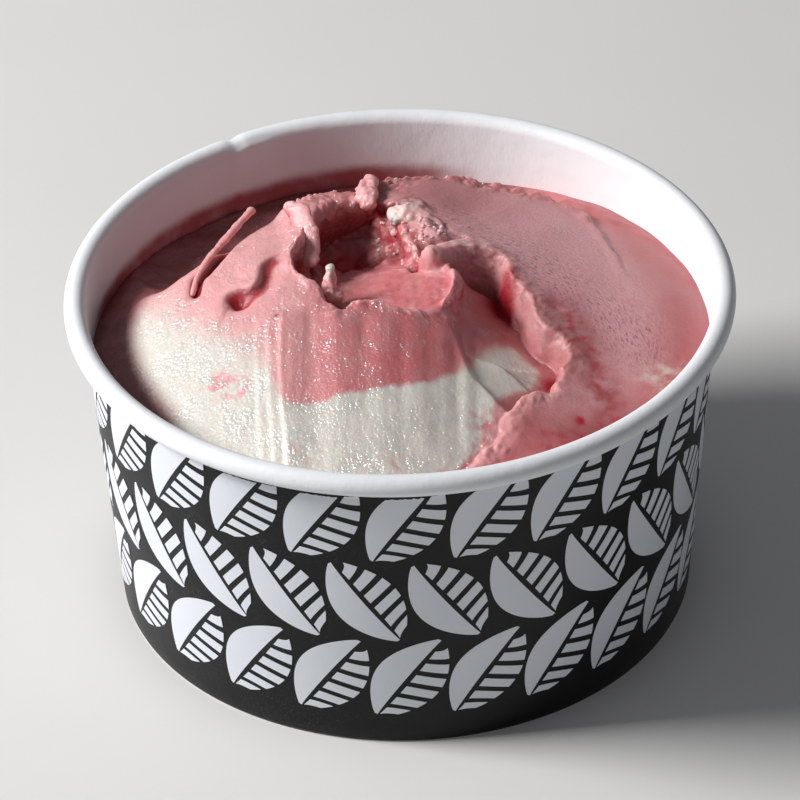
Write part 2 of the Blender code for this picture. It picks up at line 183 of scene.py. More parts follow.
# Flakes and lumps that stand free: line in space, way that it faces, half widths and half depths at
# even steps, unevenness, share of the white flavour at its start and end, and paleness, partly painted
# light
CLODS = (
    (  # loose flake on the left
        (
            (-28.4, 0.8, 46.4), (-27.6, 4.9, 46.9), (-25.9, 9.1, 47.3), (-23.7, 12.9, 47.7),
            (-21.8, 16.4, 48), (-20.1, 19.3, 48.2),
        ),
        (-0.6, 0.1, 0.8), (0.3, 0.55, 0.65, 0.6, 0.6), (0.3, 0.5, 0.5), 0.3, (0, 0), 0.8,
    ),
    (  # spike in the crater
        ((-9.3, -0.4, 45.2), (-9.4, 0.9, 47.4), (-9.2, 2.2, 50.2)),
        (-0.4, -0.8, 0.4), (3, 1.9, 1.2, 0.7, 0.5), (1.3, 0.9, 0.6), 0.5, (-1, 1), 0.9,
    ),
    (  # standing flap on the crater's left
        (
            (-12.1, 6.8, 46.4), (-12.2, 9, 47.8), (-12.4, 10.9, 49), (-13.1, 12.9, 50),
            (-14, 14.7, 50.7), (-15.7, 15.8, 51),
        ),
        (-0.3, -0.8, 0.5), (1.1, 1.5, 1.8, 1.9, 1.5, 0.6), (0.5, 0.7, 0.7, 0.6, 0.4), 0.2, (0, 0), 0.85,
    ),
    (  # lit end of the swept layer
        ((-3.1, 29.5, 46.2), (-4.1, 25.8, 46.8), (-4, 23.1, 46.7), (-3.4, 21.6, 46.3)),
        (0, -0.5, 0.8), (1, 1.5, 1.4, 0.9), (0.9, 1.2, 0.9), 0.45, (0, 0.2), 0.9,
    ),
    (  # smooth pale clump
        ((-1.3, 19.2, 47.3), (0.6, 18.1, 47.5), (2.5, 17.4, 47.3), (4.6, 16.2, 46.9), (6.2, 15, 46.4)),
        (0, -0.5, 0.8), (1.1, 1.8, 1.6, 1.2, 0.7), (0.8, 1.1, 0.9, 0.6), 0.35, (0.7, 0.1), 0.95,
    ),
)

# Crumbs lying along lines seen from above: line, spread, count, smallest and largest radius, and share
# of the white flavour
CRUMBS = (
    # below the pale clump
    (((-1.3, 21.6), (0.4, 19), (2.3, 15.1), (4.2, 12.8)), 1.2, 34, 0.25, 0.7, 0.35),
    # over the cave
    (((-2.8, 22.4), (-1.4, 19.7), (0, 15), (1.1, 10.4)), 0.9, 16, 0.25, 0.55, 0.1),
    # beside the crevice
    (((2.9, 16.2), (4.5, 14.5), (6.2, 13.6), (7.5, 12.8)), 0.8, 12, 0.25, 0.5, 0.3),
    # right and left parts of the back edge
    (((12, 33.2), (6, 33), (1, 31.2), (-3.4, 29), (-6, 27.6)), 0.4, 14, 0.25, 0.5, 0),
    (((-8, 26.4), (-11, 24.8), (-14.4, 22.6), (-17, 20)), 0.4, 8, 0.2, 0.4, 0),
)

# Soft mounds beside the crater and the crevice: centre, radius and height
MOUNDS = (
    ((1.2, 20.6), 2.1, 1), ((4.9, 7.8), 1.4, 0.5), ((-3.8, 24.4), 1.5, 0.9), ((3.8, 15.6), 1.2, 0.6),
)

# Lines and patches that part the flavours, the frost and the juice
FACET_EDGE = ((-15.9, -7.4), (-16, -12), (-16.1, -18), (-15.9, -24), (-15.6, -30), (-15.4, -38))
FLAVOUR_LINE = (
    (-48, 6), (-41, 4.6), (-34.8, 3.6), (-30.8, -1.4), (-26.6, -6.6), (-22.6, -9.8), (-19.4, -12.9),
    (-17.2, -17), (-15.8, -22.3), (-13.6, -23.3), (-10.3, -23), (-3.6, -21.3), (2.5, -19.1),
    (5.4, -17.6), (8, -14.6), (10.8, -9.6), (13.4, -5.6), (15.6, -4.9), (17.2, -7), (18.8, -9.8),
    (18.8, -12.8), (17.4, -15.4), (15, -17.2), (13.2, -19.6), (12.2, -22.8), (10.8, -26.6),
    (8.2, -31.4), (3.2, -35), (1, -40), (0.2, -48),
)

# How far the flavours melt into each other: (share of the way along their line, half width) pairs
FLAVOUR_BLEND = (
    (0, 8), (0.26, 7), (0.31, 2), (0.36, 1), (0.5, 1.3), (0.56, 2.6), (0.66, 2.6), (0.8, 1.6), (1, 0.8),
)
SWEEP_FROST = ((8, 20), (11, 14.6), (14.2, 12.3), (19.5, 7.5), (24.8, 1.7), (30.1, -3.1), (34, -7.5))
SWEEP_RED = ((21.5, -1), (24.4, -7), (26.6, -14.3), (27.6, -21.5), (20, -27))

# Patches: centre, radius and strength
PINK_PATCHES = (
    ((-24.4, -18.2), 2.6, 0.9), ((-21.2, -19.6), 2, 0.8), ((-13.7, -31), 3.2, 0.3),
    ((-2, -33), 3.6, 0.3), ((11, -24), 3, 0.45), ((14, -19.5), 2, 0.3), ((19.5, -12), 2.4, 0.4),
    ((-28, -28), 4, 0.35),
)
PALE_PATCHES = (
    ((35.6, -13), 5.5, 0.5), ((8.4, 10.8), 2, 0.6), ((11.6, 11.8), 1.8, 0.5), ((1.6, 20), 2.6, 0.75),
    ((-3.2, 25), 1.6, 0.5), ((4.8, 9), 1.2, 0.4), ((24.6, -18.4), 1.6, 0.3),
)
# Dark red spots: real drops, and painted shade in the notch's pit, the crater's cave, the hollow under
# the scarp and the hole at the flap's foot
JUICE_AND_PIT_SHADE_SPOTS = (
    ((23.9, -21.9), 0.7, 1), ((-21.4, -3.4), 1.5, 1), ((14.8, 4.7), 2.6, 0.7), ((-7.5, 17), 4, 0.9),
    ((-16.4, -7.9), 0.45, 1), ((-12.8, 5), 1.7, 0.9), ((20.8, -12.4), 1.6, 0.6),
)

# Print, in millimetres
LEAF_COLUMNS = 24
LEAF_ROWS = (11.6, 25.3, 39.0)
LEAF_LENGTH = 16.4
LEAF_WIDTH = 4.3
LEAF_TILT = math.radians(34)
LEAF_BARS = 6
BAR_START = 0.04
BAR_PITCH = 0.145
BAR_LENGTH = 0.09
BAR_SLANT = 0.08
LEAF_VEIN = 0.8
INK = 0.03

# Stage, in metres
KEY_PLACE = (-0.79, -0.02, 0.63)
KEY_AIM = (0.0, 0.0, 0.04)
KEY_WIDTH = 0.32
ROOM_COLOUR = (0.92, 0.95, 1.0)
CAMERA_DROP = 0.6178
CAMERA_ROLL = 0.0268
CAMERA_DISTANCE = 0.736
CAMERA_AIM = (-0.00029, 0.0, 0.02852)
CAMERA_LENS = 238.5

# Grid of the sorbet: how strongly its places crowd on steep parts, the coarse grid in which that is
# worked out, and how many times
CROWDING = 0.9
CROWDING_COUNT = 150
CROWDING_TURNS = 4

# Relief fades as a cell's width goes from whole to stretched, in millimetres, and from a share of the way
# to the wall on
CELL_WHOLE = 0.6
CELL_STRETCHED = 1.1
FREE_OF_WALL = 0.94

# Samples of a line on each side over which the way that its lip leans is smoothed
LEAN_REACH = 80

# Lumps on the sorbet: size, seed, height all over, and added height where it is torn
SORBET_LUMPS = ((2.4, 17, 0, 0.8), (1.0, 23, 0.03, 0.5))

# Shares that are kept for each place of the sorbet
TINTS = ("white", "frost", "speck", "juice_and_shade", "pale", "painted_shade", "wet")


class Field:
    """A socket of a material's nodes that Python's operators work on."""

    def __init__(self, tree, socket=None):
        self.tree = tree
        self.socket = socket

    def node(self, kind, inputs=(), output=0, **settings):
        """Adds a node, sets it, fills its sockets with values or links, and gives one output."""
        made = self.tree.nodes.new(kind)
        for name, value in settings.items():
            setattr(made, name, value)
        for name, value in dict(inputs).items():
            if isinstance(value, Field):
                self.tree.links.new(value.socket, made.inputs[name])
            else:
                made.inputs[name].default_value = value
        return Field(self.tree, made.outputs[output])

    def math(self, operation, *values):
        return self.node("ShaderNodeMath", enumerate(values), operation=operation)

    def __add__(self, other):
        return self.math("ADD", self, other)

    def __radd__(self, other):
        return self.math("ADD", other, self)

    def __sub__(self, other):
        return self.math("SUBTRACT", self, other)

    def __rsub__(self, other):
        return self.math("SUBTRACT", other, self)

    def __mul__(self, other):
        return self.math("MULTIPLY", self, other)

    def __rmul__(self, other):
        return self.math("MULTIPLY", other, self)

    def __truediv__(self, other):
        return self.math("DIVIDE", self, other)

    def between(self, low, high):
        """0 where the field is at low and 1 where it is at high, with a smooth start and end."""
        ends = {"Value": self, "From Min": low, "From Max": high}
        return self.node("ShaderNodeMapRange", ends, interpolation_type="SMOOTHSTEP")

    def paint(self, below, above):
        """A colour that goes from one to another as the field goes from 0 to 1."""
        below, above = (end if isinstance(end, Field) else opaque(end) for end in (below, above))
        return self.node("ShaderNodeMix", {0: self, 6: below, 7: above}, output=2, data_type="RGBA")

    def part(self, axis):
        return self.node("ShaderNodeSeparateXYZ", {0: self}, output=axis)

    def stretched(self, x, y, z):
        return self.node("ShaderNodeVectorMath", {0: self, 1: (x, y, z)}, operation="MULTIPLY")

    def cloud(self, size, detail=2.0, roughness=0.5, distortion=0.0):
        """Noise from 0 to 1 on a place, with features of a size in millimetres."""
        look = {"Vector": self, "Scale": 1 / (size * MM), "Detail": detail, "Roughness": roughness}
        return self.node("ShaderNodeTexNoise", {**look, "Distortion": distortion})

    def grains(self, size):
        """Rounded grains of a size in millimetres, from about 0 between them to 1 on top."""
        look = {"Vector": self, "Scale": 1 / (size * MM), "Smoothness": 0.35}
        return 1 - self.node("ShaderNodeTexVoronoi", look, feature="SMOOTH_F1")

    def attribute(self, name):
        return self.node("ShaderNodeAttribute", output="Fac", attribute_name=name)

    def relief(self, depth, over=None):
        """A normal that follows the field as a height, with its full depth in millimetres."""
        values = {"Height": self, "Distance": depth * MM, "Strength": 1.0}
        if over:
            values["Normal"] = over
        return self.node("ShaderNodeBump", values)

    def cover(self, shader, layer, share):
        """Lays a layer's shader over another by a share from 0 to 1."""
        mixed = self.tree.nodes.new("ShaderNodeMixShader")
        share.into(mixed, 0)
        self.tree.links.new(shader.outputs[0], mixed.inputs[1])
        self.tree.links.new(layer.outputs[0], mixed.inputs[2])
        self.tree.links.new(mixed.outputs[0], self.tree.nodes["Material Output"].inputs["Surface"])

    def into(self, shader, name):
        self.tree.links.new(self.socket, shader.inputs[name])


def set_constants(shader, constants):
    for socket, value in constants.items():
        shader.inputs[socket].default_value = value


def new_finish(name, constants):
    """A material, its shader with its constant values set, and the place on the piece as a field."""
    made = bpy.data.materials.new(name)
    made.use_nodes = True
    shader = made.node_tree.nodes["Principled BSDF"]
    set_constants(shader, constants)
    place = Field(made.node_tree).node("ShaderNodeTexCoord", output="Object")
    return made, shader, place


def opaque(colour):
    return (*colour, 1.0)


def ease(low, high, value):
    """0 at low and 1 at high, with a smooth start and end."""
    t = np.clip((value - low) / (high - low), 0, 1)
    return t * t * (3 - 2 * t)


def band(start, full, fade, end, value):
    """0 outside start and end, and 1 from full to fade."""
    return ease(start, full, value) * ease(end, fade, value)


def bell(distance, width):
    return np.exp(-((distance / width) ** 2))


def rough(xy, size, seed):
    """Smooth noise from about -1 to 1 with features of a given size."""
    return np.array([noise.noise(Vector((x / size, y / size, seed))) for x, y in xy])


def rugged(xy, size, seed, octaves=3):
    """Rugged noise from about -1 to 1, from a given size of features down."""
    places = (Vector((x / size, y / size, seed)) for x, y in xy)
    return np.array([noise.fractal(place, 0.9, 2.1, octaves) for place in places])


def lumps(points, size, seed):
    """Rounded lumps with creases between them, from about -0.4 to 0.6, at places in space."""
    places = points / size + seed
    heights = [noise.turbulence(Vector(place), 2, True, amplitude_scale=0.5) for place in places]
    return np.array(heights) - 0.4


def bumpy(points, size, seed):
    """Smooth noise from about -1 to 1 at places in space."""
    return np.array([noise.noise(Vector(place)) for place in points / size + seed])


def outward(grid):
    """The way out of the surface at each place of a grid."""
    normal = np.cross(np.gradient(grid, axis=1), np.gradient(grid, axis=0))
    return normal / (np.linalg.norm(normal, axis=2, keepdims=True) + 1e-12)


def lengths(vectors):
    return np.linalg.norm(vectors, axis=1)


def at_share(share, values):
    """Values at even steps, read at shares of the way along them."""
    return np.interp(share, np.linspace(0, 1, len(values)), values)


def smooth_curve(points, samples=60):
    """A Catmull-Rom curve through the points."""
    p = np.array(points, float)
    p = np.vstack([2 * p[0] - p[1], p, 2 * p[-1] - p[-2]])
    t = np.linspace(0, 1, samples, endpoint=False)[:, None]
    spans = [
        0.5 * (2 * b + (c - a) * t + (2 * a - 5 * b + 4 * c - d) * t**2 + (3 * b - a - 3 * c + d) * t**3)
        for a, b, c, d in zip(p, p[1:], p[2:], p[3:])
    ]
    return np.vstack([*spans, p[-2:-1]])


def beside(xy, points):
    """Each place's distance from a curve (above 0 on its left), its share of the way along, and the
    way to the left, smoothed along the curve.
    """
    line = smooth_curve(points)
    tree = kdtree.KDTree(len(line))
    for index, (x, y) in enumerate(line):
        tree.insert((x, y, 0), index)
    tree.balance()
    nearest = np.array([tree.find((x, y, 0))[1] for x, y in xy])
    run = np.gradient(line, axis=0)
    length = lengths(run)
    passed = np.concatenate([[0], np.cumsum((length[1:] + length[:-1]) / 2)])
    run /= length[:, None]
    away = xy - line[nearest]
    across = (away * np.stack([-run[:, 1], run[:, 0]], 1)[nearest]).sum(1)
    mean = np.full(2 * LEAN_REACH + 1, 1 / (2 * LEAN_REACH + 1))
    padded = (np.pad(part, LEAN_REACH, mode="edge") for part in run.T)
    easy_x, easy_y = (np.convolve(part, mean, "valid") for part in padded)
    left = np.stack([-easy_y, easy_x], 1)[nearest]
    beyond = np.clip(np.abs((away * run[nearest]).sum(1)) - length[nearest] / 2, 0, None)
    return np.where(across < 0, -1, 1) * np.hypot(across, beyond), passed[nearest] / passed[-1], left


def curl_centre(sizes):
    """(radius, height) of the middle of the rolled rim."""
    across = (sizes.rim_diameter - sizes.curl_diameter) / 2 / MM
    return across, (sizes.cup_height - sizes.curl_diameter / 2) / MM


def wall_radius(sizes, z):
    """Radius of the middle of the wall's board at a height."""
    board = sizes.board / MM
    foot = sizes.foot_diameter / 2 / MM - board / 2
    top = (sizes.rim_diameter / 2 - sizes.curl_diameter) / MM + board / 2
    return foot + (top - foot) * (z - board / 2) / (curl_centre(sizes)[1] - board / 2)


def fill_radius(sizes, z):
    """Radius of the sorbet's side at a height, pressed against the wall."""
    return wall_radius(sizes, z) - sizes.board / MM / 2 + WALL_TOUCH


def angle_round(xy):
    """Degrees from +X round the cup."""
    return np.degrees(np.arctan2(xy[:, 1], xy[:, 0])) % 360


def contact_height(xy):
    turns, heights = zip(*WALL_CONTACT)
    return np.interp(angle_round(xy), [*turns, 360], [*heights, heights[0]])


def reach_from(xy, centre, radius):
    """How far each place is from a centre, as a share of the way to the wall."""
    away = xy - centre
    distance = lengths(away) + 1e-9
    along = (away / distance[:, None]) @ centre
    to_wall = np.sqrt(along**2 + radius**2 - np.dot(centre, centre)) - along
    return np.clip(distance / to_wall, 0, 1)


class Surface:
    """The sorbet's top while it is shaped: a height and a sideways move for each place in the cup."""

    def __init__(self, xy, radius, fine):
        self.xy = xy
        self.radius = radius
        self.fine = fine
        self.low = contact_height(xy)
        self.z = self.scooped()
        self.move = np.zeros_like(xy)
        self.torn = np.zeros(len(xy))

    def rugged(self, size, seed, octaves=3):
        """Rugged noise, left out of the quick shape that only spaces the places."""
        return rugged(self.xy, size, seed, octaves) if self.fine else 0

    def scooped(self):
        """The lower surface, at the front and left, with the valley beside the sweep."""
        reach = reach_from(self.xy, np.array(DOME_CENTRE), self.radius)
        z = self.low + (DOME_TOP - self.low) * (1 - reach**DOME_FLATNESS)
        z -= DOME_ROLL * np.clip(self.xy[:, 0] - DOME_CENTRE[0], 0, 22) ** 2
        from_sweep, along, _ = beside(self.xy, SWEEP_EDGE)
        from_crease, passed, _ = beside(self.xy, VALLEY_CREASE)
        across = np.clip(-from_sweep, 0, None)
        creased = ease(-0.1, 0.6, from_crease) * band(0, 0.2, 0.9, 1, passed) * ease(0, 4, across)
        z -= CREASE_STEP * creased
        share = across / (across + np.clip(from_crease, 0, None) + 1e-6)
        return z - np.interp(along, *zip(*VALLEY_DEPTH)) * (1 - share) * (from_crease > 0)

    def swept(self):
        """The upper surface, at the back and right, swept from its crest down to the wall."""
        across, back = (self.xy - SWEEP_CREST).T
        top = SWEEP_TOP - SWEEP_FALL * ease(SWEEP_FALL_FROM, SWEEP_FALL_TO, self.xy[:, 0])
        top -= SWEEP_CROWN * back**2 + SWEEP_SHOULDER * np.clip(across, None, 0) ** 2
        top -= SWEEP_HOLLOW_DEPTH * bell(lengths(self.xy - SWEEP_HOLLOW), SWEEP_HOLLOW_RADIUS)
        reach = np.clip(lengths(self.xy) / self.radius, 0, 1)
        return self.low + (top - self.low) * (1 - reach**SWEEP_FLATNESS)

    def crater_floor(self):
        pit = bell(lengths(self.xy - CRATER_PIT), CRATER_PIT_RADIUS)
        knobs = CRATER_LUMPS * np.abs(rough(self.xy, 2.6, 11)) * ease(7, 12, self.xy[:, 1])
        return CRATER_SHELF + self.xy @ CRATER_SLOPE - CRATER_PIT_DEPTH * pit + knobs

    def bump(self, centre, radius, height):
        self.z += height * bell(lengths(self.xy - centre), radius)

    def ridge(self, line, width, heights, offset=0.0, uneven=0.0, seed=0, lean=0.0):
        """Raises a ridge beside a line by evenly spaced heights; below 0 they cut a groove."""
        distance, along, to_left = beside(self.xy, line)
        across = (distance - offset) / width
        ends = band(0, 0.12, 0.96, 1, along)
        height = bell(across, 1) * ends * at_share(along, heights)
        height = height * (1 + uneven * rough(self.xy, 2.2, seed))
        self.z += height
        self.move += (lean * height)[:, None] * to_left

    def torn_edge(self, line, left, right, seed, width, lean, uneven, crumbly, share=1.0):
        """Joins two surfaces by a torn edge whose rounded lip, on the line's left, leans out to it."""
        distance, along, to_left = beside(self.xy, line)
        changing = (width, lean, uneven, crumbly)
        width, lean, uneven, crumbly = (np.interp(along, *zip(*pairs)) for pairs in changing)
        ragged = distance + uneven * (rough(self.xy, 3.6, seed) + 0.25 * self.rugged(1.5, seed, 2))
        inner = (ragged - 0.8 * lean) / width
        upper = ease(-0.8, 0.8, inner)
        self.z += share * (left * upper + right * (1 - upper) - self.z)
        self.move -= (share * lean * bell(inner - 0.3, 0.75))[:, None] * to_left
        near = bell(np.clip(np.abs(inner) - 1, 0, None), 1.1)
        self.torn = np.maximum(self.torn, share * crumbly * (0.35 + 0.65 * upper) * near)
        return upper


def shape_surface(xy, radius, fine):
    """Works out the sorbet's top over each place in a disc as wide as the cup, in millimetres."""
    top = Surface(xy, radius, fine)
    x, y = xy.T

    # Fluted facet at the front left, with steps beside it
    from_left, _, _ = beside(xy, FACET_EDGE)
    scraped = ease(-0.2, 0.8, from_left) * ease(9, 7, x) * band(-40, -20, -8, -5, y)
    flutes = 1.8 * rough(xy * (1, 0.04), 3.4, 5) + 0.2 * rough(xy * (1, 0.08), 1.3, 6) - 1.2
    top.z += scraped * FLUTES * flutes
    for offset, height in FACET_STEPS:
        step = from_left - offset + 0.25 * rough(xy * (1, 0.25), 2, 8)
        top.z += height * band(-0.5, 0.3, 0.4, 5, step) * ease(-6, -9, y)

    # Tear and notch on the left
    distance, along, _ = beside(xy, TEAR_EDGE)
    swell = top.z + 0.6 * bell(np.clip(distance, 0, None), 3.4)
    scar = top.z - 0.6 * bell(distance + 0.9, 1.5)
    fade = np.sqrt(np.sin(np.pi * np.clip(along, 0.02, 0.98)))
    top.torn_edge(TEAR_EDGE, swell, scar, seed=31, share=fade, **TEAR)
    top.bump(NOTCH, NOTCH_RADIUS, -NOTCH_DEPTH)

    # Crater, with the flap and the spike
    top.ridge(CRATER_EDGE, 0.9, (0.5, 0.5), offset=0.9, uneven=0.9, seed=45)
    top.ridge(FLAP, 1.5, (1.0, 1.6, 1.9, 1.5, 1.2, 0.6), offset=0.2, uneven=0.35, seed=2, lean=0.2)
    rim = top.torn_edge(CRATER_EDGE, top.z, top.crater_floor(), seed=41, **CRATER_TEAR)
    top.ridge(CRATER_LIP, 0.8, (0.8, 1.0, 1.0), uneven=0.4, seed=46)
    top.bump(SPIKE, SPIKE_RADIUS, SPIKE_HEIGHT)

    # Swept layer, with mounds and a crevice beside its edge
    distance, _, _ = beside(xy, SWEEP_EDGE)
    lip = 0.4 * bell(distance - 1.4, 1.8) * (1 + 0.4 * rough(xy, 2.4, 55))
    swept = top.torn_edge(SWEEP_EDGE, top.swept() + lip, top.z, seed=51, **SWEEP_TEAR)
    for centre, size, height in MOUNDS:
        top.bump(centre, size, height)
    top.ridge(CREVICE, 0.7, (-2.0, -1.8, -0.4))

    # Torn edge and gap at the back, and the flake that peels up on the left
    distance, along, _ = beside(xy, BACK_EDGE)
    lip = bell(distance - 0.9, 0.8) * (0.4 + 0.5 * rough(xy, 2.6, 67)) * band(0, 0.3, 0.6, 0.72, along)
    gap = np.minimum(top.z, contact_height(xy) + 0.4 + 0.7 * rough(xy, 4, 65))
    gap = np.maximum(gap, top.z - np.interp(along, (0, 0.22, 0.36), (0.15, 0.35, 9)))
    full = band(0, 0.06, 0.86, 1, along)
    top.torn_edge(BACK_EDGE, top.z + lip, gap, seed=61, share=full, **BACK_TEAR)
    top.ridge(FLAKE, 2.2, (0.2, 0.6, 0.9), offset=1.4)
    top.ridge(FLAKE, 0.7, (-1.5, -1.6, -1.2), offset=-0.6)

    top.z += 0.16 * rough(xy, 5.5, 71)
    top.swept_share = swept
    top.crater_share = 1 - rim
    return top


def disc_from_square(square):
    """Presses the square from -1 to 1 into the unit disc."""
    x, y = square.T
    return np.stack([x * np.sqrt(1 - y * y / 2), y * np.sqrt(1 - x * x / 2)], 1)


def blurred(grid, times):
    """Smooths a grid of values by the mean of each place and its neighbours."""
    for _ in range(times):
        for axis in (0, 1):
            ends = [(1, 1) if side == axis else (0, 0) for side in range(grid.ndim)]
            wide = np.pad(grid, ends, mode="edge")
            before = np.take(wide, range(grid.shape[axis]), axis)
            after = np.take(wide, range(2, grid.shape[axis] + 2), axis)
            grid = (before + 2 * grid + after) / 4
    return grid


def spaced_by_weight(places, weight):
    """Re-spaces the places along a grid's rows, closer where the weight is greater."""
    even = np.linspace(0, 1, places.shape[1])
    spaced = np.empty_like(places)
    for row, (line, heavy) in enumerate(zip(places, weight)):
        passed = np.concatenate([[0], np.cumsum((heavy[1:] + heavy[:-1]) / 2)])
        for part in (0, 1):
            spaced[row, :, part] = np.interp(even, passed / passed[-1], line[:, part])
    return spaced


def crowded_places(count, radius):
    """A square grid of places from -1 to 1, closer together where the sorbet is steep."""
    steps = np.linspace(-1, 1, CROWDING_COUNT)
    places = np.stack(np.meshgrid(steps, steps), 2)
    for _ in range(CROWDING_TURNS):
        flat = disc_from_square(places.reshape(-1, 2)) * radius
        z = shape_surface(flat, radius, fine=False).z.reshape(CROWDING_COUNT, CROWDING_COUNT)
        plan = flat.reshape(CROWDING_COUNT, CROWDING_COUNT, 2)
        run = np.linalg.norm(np.gradient(plan, axis=1), axis=2) + 0.02
        weight = blurred(np.hypot(1, CROWDING * np.gradient(z, axis=1) / run), 4)
        places = spaced_by_weight(places, weight).transpose(1, 0, 2)
    fine = np.linspace(0, CROWDING_COUNT - 1, count)
    coarse = np.arange(CROWDING_COUNT)
    for _ in range(2):
        rows = [[np.interp(fine, coarse, row[:, part]) for part in (0, 1)] for row in places]
        places = np.stack(rows).transpose(2, 0, 1)
    return places


def place_top(sizes, top, count):
    """(x, y, z) of the finished top, with its lips leant over and its lumps and grain added."""
    move = blurred(top.move.reshape(count, count, 2), 5).reshape(-1, 2)
    free = ease(1, FREE_OF_WALL, lengths(top.xy) / top.radius)
    scale = np.array([fill_radius(sizes, height) for height in top.z]) / top.radius
    points = np.column_stack([(top.xy + move * free[:, None]) * scale[:, None], top.z])
    grid = points.reshape(count, count, 3)
    stretch = np.maximum(*(np.linalg.norm(np.gradient(grid, axis=way), axis=2) for way in (0, 1)))
    calm = ease(CELL_STRETCHED, CELL_WHOLE, blurred(stretch, 3)).ravel()
    out = outward(blurred(grid, 2)).reshape(-1, 3)
    torn = blurred(np.maximum(top.torn, 0.45 * top.crater_share).reshape(count, count), 2).ravel()
    relief = sum(
        (low + more * torn) * lumps(points, size, seed) for size, seed, low, more in SORBET_LUMPS
    )
    points = points + out * (relief * free * (0.15 + 0.85 * calm))[:, None]
    smooth = blurred(points.reshape(count, count, 3), 4).reshape(-1, 3)
    return points + (smooth - points) * (0.8 * (1 - calm) * free)[:, None]


def close_to(xy, patches):
    """The strongest of several soft round patches at each place."""
    return np.max([share * bell(lengths(xy - centre), radius) for centre, radius, share in patches], 0)


def white_share(xy, reach, angle):
    """Share of the white flavour, from its line and from how far out and round each place lies."""
    distance, along, _ = beside(xy, FLAVOUR_LINE)
    soft = np.interp(along, *zip(*FLAVOUR_BLEND))
    wavy = distance + 0.7 * rugged(xy * (1, 0.4), 2.6, 81)
    by_the_wall = ease(0.94, 0.79, reach) + ease(190, 225, angle) * ease(60, 40, np.abs(angle - 270))
    pink = close_to(xy, PINK_PATCHES) * (0.7 + 1.5 * rugged(xy, 1.7, 83))
    return ease(1, -1, wavy / soft) * np.clip(by_the_wall, 0, 1) * (1 - np.clip(pink, 0, 1))


